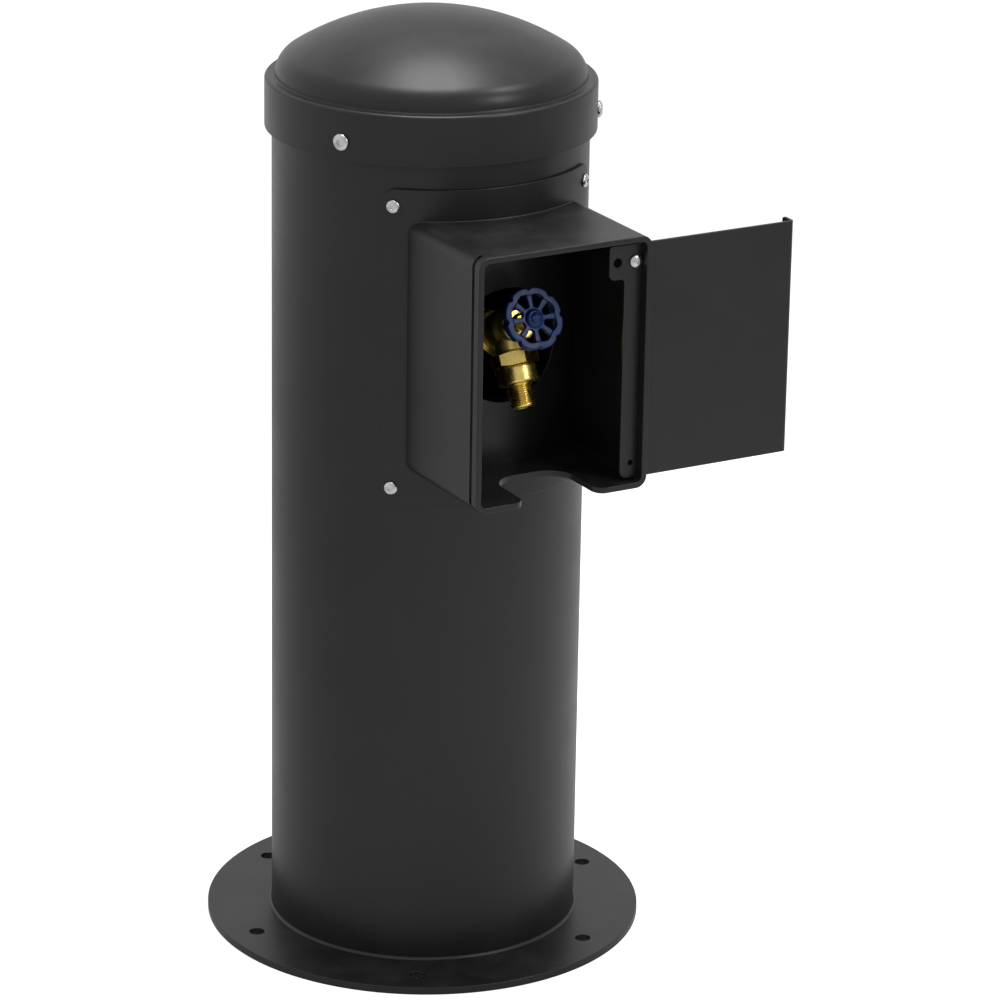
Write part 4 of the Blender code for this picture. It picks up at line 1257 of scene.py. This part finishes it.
def make_washer():
    mesh = turned_ring("washer_disc", oblong(0.0030, 0.0100, WASHER_FOOT, WASHER_TOP), 0.0006, 64)
    show("washer_disc", mesh, RUBBER, ["seat_washer"], STEM, "washer_carrier")
    head = softened([(0, SEAT_AT - 0.0030), (0.0045, SEAT_AT - 0.0030), (0.0045, SEAT_AT - 0.0005),
                     (0.0025, SEAT_AT - 0.0005)], 0.0004)
    shank = thread(0.0025, 0.0003, 0.0006, SEAT_AT, WASHER_TOP + 0.0070) + [(0.0022, WASHER_TOP + 0.0078)]
    mesh = turned("washer_brass_screw", head + shank + [(0, WASHER_TOP + 0.0080)], 32)
    slot = block("slot", (-0.006, -0.0005, SEAT_AT - 0.0040), (0.006, 0.0005, SEAT_AT - 0.0020))
    mesh = shaped(mesh, cuts=[slot])
    show("washer_brass_screw", mesh, TURNED_BRASS, ["washer_screw"], STEM, "spindle")


def make_gland():
    ring = oblong(STEM_BORE, CHAMBER_RADIUS - GAP, PACKING_FOOT, BARREL_END - GAP)
    show("packing_ring", turned_ring("packing_ring", ring, 0.0007, 64), RUBBER, ["stem_packing"], STEM)
    nut = hex_nut("gland_nut", 0.0168, STEM_BORE, 0.0100)
    collar = turned("collar", softened(GLAND_COLLAR, 0.0006), 64)
    nut = shaped(nut, joins=[collar], cuts=[rod("hole", STEM_BORE, -0.010, 0.030)])
    place = STEM @ Matrix.Translation((0, 0, BARREL_END + GAP))
    show("gland_nut", nut, TURNED_BRASS, ["packing_nut"], place)


make_stem()
make_washer()
make_gland()

# %% [markdown]
# ## Handwheel
# The wheel is a small casting with eight lobes and a window under each. Its rim is thicker than its spokes,
# and its hub stands proud on both sides. The plain forms are joined and melted in the same way as the tap's
# body.

# %% Handwheel
WHEEL_LOBES = 8
WHEEL_INNER, WHEEL_OUTER = 0.0287, 0.0318
WHEEL_THICKNESS = 0.0080
RIM_INSIDE = 0.0232
SPOKES_RADIUS, SPOKES_THICKNESS = 0.0270, 0.0052
HUB = [(0, 0.0068), (0.0074, 0.0068), (0.0096, 0.0045), (0.0096, -0.0058), (0, -0.0058)]
WINDOW_CORNERS = ((0.0122, -12), (0.0122, 12), (0.0246, 15), (0.0258, 0), (0.0246, -15))
LOBE_CORNERS = ((WHEEL_INNER, 0.0), (WHEEL_OUTER, 6.5), (WHEEL_OUTER + 0.0005, 22.5), (WHEEL_OUTER, 38.5))


def spun(corners, start):
    """Points given by radius and degrees, as (x, y)."""
    places = [(reach, math.radians(start + offset)) for reach, offset in corners]
    return [(reach * math.cos(turn), reach * math.sin(turn)) for reach, turn in places]


def make_handwheel():
    lobes = [point for i in range(WHEEL_LOBES) for point in spun(LOBE_CORNERS, i * 360 / WHEEL_LOBES)]
    middles = [(i + 0.5) * 360 / WHEEL_LOBES for i in range(WHEEL_LOBES)]
    windows = [softened(spun(WINDOW_CORNERS, middle), 0.0014, closed=True) for middle in middles]
    outlines = [softened(lobes, 0.0014, closed=True), circle(0, 0, RIM_INSIDE, 96)]
    rim = plate("rim", outlines, WHEEL_THICKNESS, 0.0012)
    spokes = plate("spokes", [circle(0, 0, SPOKES_RADIUS, 96), *windows], SPOKES_THICKNESS, 0.0007)
    hub = turned("hub", softened(HUB, 0.0010), 64)
    rim = shaped(rim, cuts=[plate("window", [window], 0.030) for window in windows])
    mesh = cast("wheel_casting", [spokes, rim, hub], 0.00038, 3)
    place = frame_along(TAP_CENTRE + STEM_AXIS * WHEEL_AT, STEM_AXIS)
    mesh = shaped(mesh, cuts=[rod("bore", STEM_BORE, -0.020, 0.020, sides=48)], crease=45)
    show("wheel_casting", mesh, BLUE_ENAMEL, ["handwheel"], place, "spindle")


def make_wheel_screw():
    head = WHEEL_AT + 0.0070 + GAP
    turns = (math.radians(90 * i / 8) for i in range(9))
    dome = [(0.0058 * math.sin(t), head + 0.0032 * math.cos(t)) for t in turns]
    shank = thread(0.0021, 0.0003, 0.0007, head - 0.0010, WHEEL_AT - 0.0034)
    profile = dome + [(0.0021, head - 0.0002)] + shank + [(0, WHEEL_AT - 0.0040)]
    slot = block("slot", (-0.007, -0.0006, head + 0.0017), (0.007, 0.0006, head + 0.0040))
    mesh = shaped(turned("wheel_screw", profile, 48), cuts=[slot])
    show("wheel_screw", mesh, BLUE_ENAMEL, ["handle_screw"], STEM, "spindle")


make_handwheel()
make_wheel_screw()

# %% [markdown]
# ## Vacuum breaker
# A vacuum breaker is screwed on the outlet, so that no water can be drawn back from the hose. It has a
# hexagonal collar, which a small screw locks in place, and a turned body that ends in the hose thread.
# Inside are a rubber diaphragm, a poppet and its spring.

# %% Vacuum breaker
HOSE_PITCH = 0.00221
BREAKER_TOP = 0.0382
COLLAR_FOOT = 0.0246
COLLAR_CORNER = 0.0252
GRUB_PLACE = frame_along(TAP_CENTRE + OUTLET_AXIS * 0.0300, (1, 0, 0))
GRUB_HEAD = 0.0205
BREAKER_SHELL = [(0.0165, 0.0550), (0.0165, BREAKER_TOP + GAP), (0.0200, BREAKER_TOP + GAP),
                 (0.0213, 0.0402), (0.0213, 0.0545), (0.0200, 0.0560), (0.0126, 0.0560)]
BREAKER_MOUTH = [(OUTLET_RADIUS, 0.0790), (0.0120, 0.0805), (0.0095, 0.0805), (0.0095, 0.0580),
                 (0.0060, 0.0580), (0.0060, 0.0550), (0.0165, 0.0550)]
POPPET = [(0, 0.0422), (0.0100, 0.0422), (0.0100, 0.0440), (0.0030, 0.0450), (0.0030, 0.0600), (0, 0.0600)]


def coil(name, radius, wire, low, high, turns, steps=28):
    """A wire coil along Z with closed ends."""
    count = turns * steps
    route = []
    for i in range(count + 1):
        spin = 2 * math.pi * i / steps
        route.append((radius * math.cos(spin), radius * math.sin(spin), low + (high - low) * i / count))
    return bar(name, route, wire, 3)


def capped(name, mesh):
    """The mesh with its open end filled."""
    work = bmesh.new()
    work.from_mesh(mesh)
    open_edges = [edge for edge in work.edges if edge.is_boundary]
    bmesh.ops.contextual_create(work, geom=open_edges)
    return finish_mesh(name, work)


def make_collar():
    place = Matrix.Translation((0, 0, COLLAR_FOOT)) @ Matrix.Rotation(math.pi / 6, 4, "Z")
    collar = hex_nut("breaker_hex_collar", COLLAR_CORNER, OUTLET_RADIUS + GAP, BREAKER_TOP - COLLAR_FOOT)
    hole = rod("screw_hole", 0.0023, 0, 0.030, OUTLET.inverted() @ GRUB_PLACE, 24)
    collar = shaped(moved(collar, place), cuts=[hole])
    show("breaker_hex_collar", collar, TURNED_BRASS, ["breaker_collar"], OUTLET)
    shank = thread(0.0020, 0.0002, 0.0005, GRUB_HEAD, 0.0142) + [(0.0016, 0.0140), (0, 0.0140)]
    top = rod("grub_top", 0.0020, 0.0190, GRUB_HEAD, sides=24)
    key = rod("key", 0.0010, 0.0185, 0.0220, sides=6)
    grub = shaped(top, joins=[capped("grub", turned("grub", shank, 24))], cuts=[key])
    show("breaker_grub_screw", grub, STAINLESS, ["breaker_set_screw"], GRUB_PLACE)


def make_breaker():
    hose = thread(OUTLET_RADIUS, 0.0016, HOSE_PITCH, 0.0572, 0.0785, 12)
    profile = softened(BREAKER_SHELL, 0.0007) + hose + softened(BREAKER_MOUTH, 0.0004)[:-1]
    mesh = turned("breaker_hose_end", profile, closed=True)
    show("breaker_hose_end", mesh, TURNED_BRASS, ["breaker_body"], OUTLET)
    mesh = turned_ring("breaker_rubber_disc", oblong(0.0070, 0.0160, 0.0392, 0.0412), 0.0005, 64)
    show("breaker_rubber_disc", mesh, RUBBER, ["breaker_diaphragm"], OUTLET)
    mesh = turned("poppet", softened(POPPET, 0.0005), 64)
    show("breaker_poppet_valve", mesh, ACETAL, ["breaker_poppet"], OUTLET, "poppet")
    mesh = coil("spring", 0.0078, 0.0005, 0.0475, 0.0540, 3)
    show("breaker_coil", mesh, SPRING_WIRE, ["breaker_spring"], OUTLET)


make_collar()
make_breaker()

# %% [markdown]
# ## Supply pipe
# Water comes up inside the post through a galvanised pipe, turns in an elbow and enters the tap through a
# short nipple. Pipes are threaded at their ends, and cast fittings have a thick band round each mouth. At
# its foot a coupling takes the pipe from the ground.

# %% Supply pipe
PIPE_PITCH = 0.00181
PIPE_THREAD = 0.0010
BAND_STEP = 0.0012
SOCKET_DEPTH = 0.0190


def pipe(name, length, thread_length):
    """A pipe from height 0 up, threaded at both ends."""
    outside = [(PIPE_BORE, 0), (PIPE_RADIUS - PIPE_THREAD, 0)]
    for start, end in ((0.0006, thread_length), (length - thread_length, length - 0.0006)):
        outside += thread(PIPE_RADIUS, PIPE_THREAD, PIPE_PITCH, start, end)
    outside += [(PIPE_RADIUS - PIPE_THREAD, length), (PIPE_BORE, length)]
    return turned(name, outside, 48, closed=True)


def make_supply():
    place = frame_along((0, NIPPLE_LOW.y, INLET_HEIGHT), (0, 1, 0))
    mesh = pipe("inlet_pipe_nipple", NIPPLE_HIGH.y - NIPPLE_LOW.y, 0.0140)
    show("inlet_pipe_nipple", mesh, ZINC_PIPE, ["inlet_nipple"], place)
    low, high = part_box("riser_pipe")
    mesh = pipe("riser_tube", high.z - low.z, 0.0150)
    show("riser_tube", mesh, ZINC_PIPE, ["riser_pipe"], Matrix.Translation((0, RISER_Y, low.z)))


def make_coupling():
    low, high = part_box("riser_coupling")
    outer, height = high.x, high.z - low.z
    bore = PIPE_RADIUS + GAP
    shoulder = height - SOCKET_DEPTH - 0.002
    waist = outer - BAND_STEP
    profile = [(bore, height), (outer, height), (outer, height - 0.0060), (waist, height - 0.0075),
               (waist, 0.0075), (outer, 0.0060), (outer, 0), (PIPE_BORE, 0), (PIPE_BORE, shoulder),
               (bore, shoulder)]
    mesh = turned_ring("coupling_socket", profile, 0.0006)
    show("coupling_socket", mesh, ZINC_CASTING, ["riser_coupling"], Matrix.Translation((0, RISER_Y, low.z)))


make_supply()
make_coupling()

# %% [markdown]
# ## Elbow
# The elbow is a bent tube with two banded mouths. A curve with a round section makes the bend, two short
# turned rings make the bands, and the casting helper melts them together before the sockets are bored.

# %% Elbow
ELBOW_BEND = 0.0240
ELBOW_REACH = 0.0400
FITTING_RADIUS = 0.0178


def elbow_route(extra):
    """The elbow's middle line, made longer at both mouths by the extra length."""
    centre = (RISER_Y - ELBOW_BEND, INLET_HEIGHT - ELBOW_BEND)
    bend = [(0, y, z) for y, z in arc(centre, ELBOW_BEND, 90, 0, 14)]
    start = (0, RISER_Y - ELBOW_REACH - extra, INLET_HEIGHT)
    return [start, *bend, (0, RISER_Y, INLET_HEIGHT - ELBOW_REACH - extra)]


def make_elbow():
    to_tap = frame_along((0, RISER_Y - ELBOW_REACH, INLET_HEIGHT), (0, 1, 0))
    to_riser = frame_along((0, RISER_Y, INLET_HEIGHT - ELBOW_REACH), (0, 0, 1))
    bands = [rod("band", FITTING_RADIUS, 0, 0.0080, place, 96) for place in (to_tap, to_riser)]
    tube = bar("elbow_fitting", elbow_route(-0.0006), FITTING_RADIUS - 0.0014)
    mesh = cast("elbow_fitting", [tube, *bands], 0.0007, 3)
    cuts = [bar("waterway", elbow_route(0.01), PIPE_BORE)]
    cuts += [rod("socket", PIPE_RADIUS + GAP, -0.01, 0.0160, place) for place in (to_tap, to_riser)]
    show("elbow_fitting", shaped(mesh, cuts=cuts, crease=40), ZINC_CASTING, ["inlet_elbow"])


make_elbow()

# %% [markdown]
# ## Bracket and U-bolt
# A flat bar is wedged across the inside of the post, and a U-bolt pulls the riser pipe against it. The
# bar's ends follow the round of the pipe, so it is the common part of a flat bar and a disc.

# %% Bracket
BRACKET_LOW, BRACKET_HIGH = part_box("riser_bracket")
BOLT_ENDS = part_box("riser_ubolt")[1].y
BOLT_WIRE = 0.0040
BOLT_LEG = PIPE_RADIUS + 0.0004 + BOLT_WIRE
BOLT_HOLE = 0.0046


def make_bracket():
    height = (BRACKET_LOW.z + BRACKET_HIGH.z) / 2
    disc = rod("bracket_bar", POST_RADIUS - POST_WALL - GAP, BRACKET_LOW.z, BRACKET_HIGH.z, sides=192)
    low = (-0.2, BRACKET_LOW.y, BRACKET_LOW.z - 0.01)
    flat_bar = block("bar", low, (0.2, BRACKET_HIGH.y, BRACKET_HIGH.z + 0.01))
    places = [frame_along((side * BOLT_LEG, BRACKET_LOW.y, height), (0, 1, 0)) for side in (-1, 1)]
    holes = [rod("hole", BOLT_HOLE, -0.010, 0.020, place, 32) for place in places]
    mesh = shaped(disc, keep=[flat_bar], cuts=holes, round_cuts=0.0004)
    show("bracket_bar", mesh, ZINC_PIPE, ["riser_bracket"])
    curve = [(x, y, height) for x, y in arc((0, RISER_Y), BOLT_LEG, 180, 360, 28)]
    route = [(-BOLT_LEG, BOLT_ENDS, height), *curve, (BOLT_LEG, BOLT_ENDS, height)]
    show("u_bolt", bar("u_bolt", route, BOLT_WIRE), STAINLESS, ["riser_ubolt"])
    nut = hex_nut("bolt_nut_mesh", 0.0075, BOLT_WIRE + GAP, 0.0062)
    for i, side in enumerate((-1, 1)):
        place = frame_along((side * BOLT_LEG, BRACKET_HIGH.y + GAP, height), (0, 1, 0))
        show(f"u_bolt_hex_nut_{i + 1}", nut.copy(), STAINLESS, [f"ubolt_nut_{i + 1}"], place)


make_bracket()

# %% [markdown]
# ## Floor and light
# The object stands on a floor in a pale room. A glossy black piece shows little but its surroundings, so the
# room is brighter in front on the right and dimmer behind, which shapes the round post. The floor's colour
# is
# painted light: it is painted lighter in front on the right and darker behind, with a little noise, as
# painted shade. What the camera sees directly is lifted to white, as a catalogue does. One wide soft lamp
# overhead puts the highlight on the dome. The colours are shown as they are, with no film curve.

# %% Floor, room and lamp
ROOM_LEVEL = 0.76
ROOM_SWING = -0.10
BRIGHT_SIDE = (0.50, -0.866, 0.0)
FLOOR_RADIUS = 2.5
SEEN_LEVEL = 1.06
FLOOR_LIFT = 0.62
LAMPS = {
    "overhead_softbox": {"place": (0.10, 0.16, 3.2), "aim": (0.10, 0.16, 0), "width": 1.0, "depth": 1.3,
                         "power": 46, "turn": -VIEW_TURN},
    "right_softbox": {"place": (1.40, -1.00, 3.4), "aim": (0, 0, 0.9), "width": 0.45, "depth": 0.45,
                      "power": 16, "turn": 0.0},
    "front_softbox": {"place": (1.14, -2.40, 2.3), "aim": (0, 0, 0.68), "width": 0.40, "depth": 0.90,
                      "power": 14, "turn": 0.0},
}


def seen_directly(tree):
    return add_node(tree, "ShaderNodeLightPath").outputs["Is Camera Ray"]


def make_floor():
    work = bmesh.new()
    bmesh.ops.create_circle(work, cap_ends=True, segments=96, radius=FLOOR_RADIUS)
    floor = bpy.data.objects.new("floor", finish_mesh("floor", work))
    made, tree, shader = start_finish("white_floor", Roughness=0.9, Specular_IOR_Level=0.1)
    place = own_place(tree)
    # Painted light: the floor's colour is painted lighter towards the bright side and darker away from it, a
    # painted pool of light and shade broken by a little noise.
    along = dot(tree, place, BRIGHT_SIDE)
    painted_light_wobble = times(tree, noise(tree, place, 3.0, 3.0), 0.08)
    share = remap(tree, calculate(tree, "ADD", along, painted_light_wobble), -1.8, 1.8)
    colour = blend_colour(tree, share, (0.50, 0.50, 0.50), (0.80, 0.80, 0.80))
    tree.links.new(colour, shader.inputs["Base Color"])
    shader.inputs["Emission Color"].default_value = (1, 1, 1, 1)
    lift = times(tree, seen_directly(tree), FLOOR_LIFT)
    tree.links.new(lift, shader.inputs["Emission Strength"])
    floor.data.materials.append(made)
    SCENE.collection.objects.link(floor)


def make_room():
    room = bpy.data.worlds.new("white_room")
    room.use_nodes = True
    tree = room.node_tree
    direction = add_node(tree, "ShaderNodeTexCoord").outputs["Generated"]
    along = dot(tree, direction, BRIGHT_SIDE)
    level = calculate(tree, "ADD", times(tree, along, ROOM_SWING), ROOM_LEVEL)
    inputs = {0: seen_directly(tree), 2: level, 3: SEEN_LEVEL}
    strength = add_node(tree, "ShaderNodeMix", inputs).outputs[0]
    tree.links.new(strength, tree.nodes["Background"].inputs["Strength"])
    tree.nodes["Background"].inputs["Color"].default_value = (1, 1, 1, 1)
    SCENE.world = room


def make_lamp(name, place, aim, width, depth, power, turn):
    light = bpy.data.lights.new(name, "AREA")
    light.shape = "RECTANGLE"
    light.size = width
    light.size_y = depth
    light.energy = power
    lamp = bpy.data.objects.new(name, light)
    lamp.location = place
    lamp.rotation_euler = (Vector(aim) - Vector(place)).to_track_quat("-Z", "Y").to_euler()
    lamp.rotation_euler.rotate_axis("Z", turn)
    SCENE.collection.objects.link(lamp)
    print("lamp:", name, power, "W")


make_floor()
make_room()
for lamp_name, settings in LAMPS.items():
    make_lamp(lamp_name, **settings)
SCENE.view_settings.view_transform = "Standard"
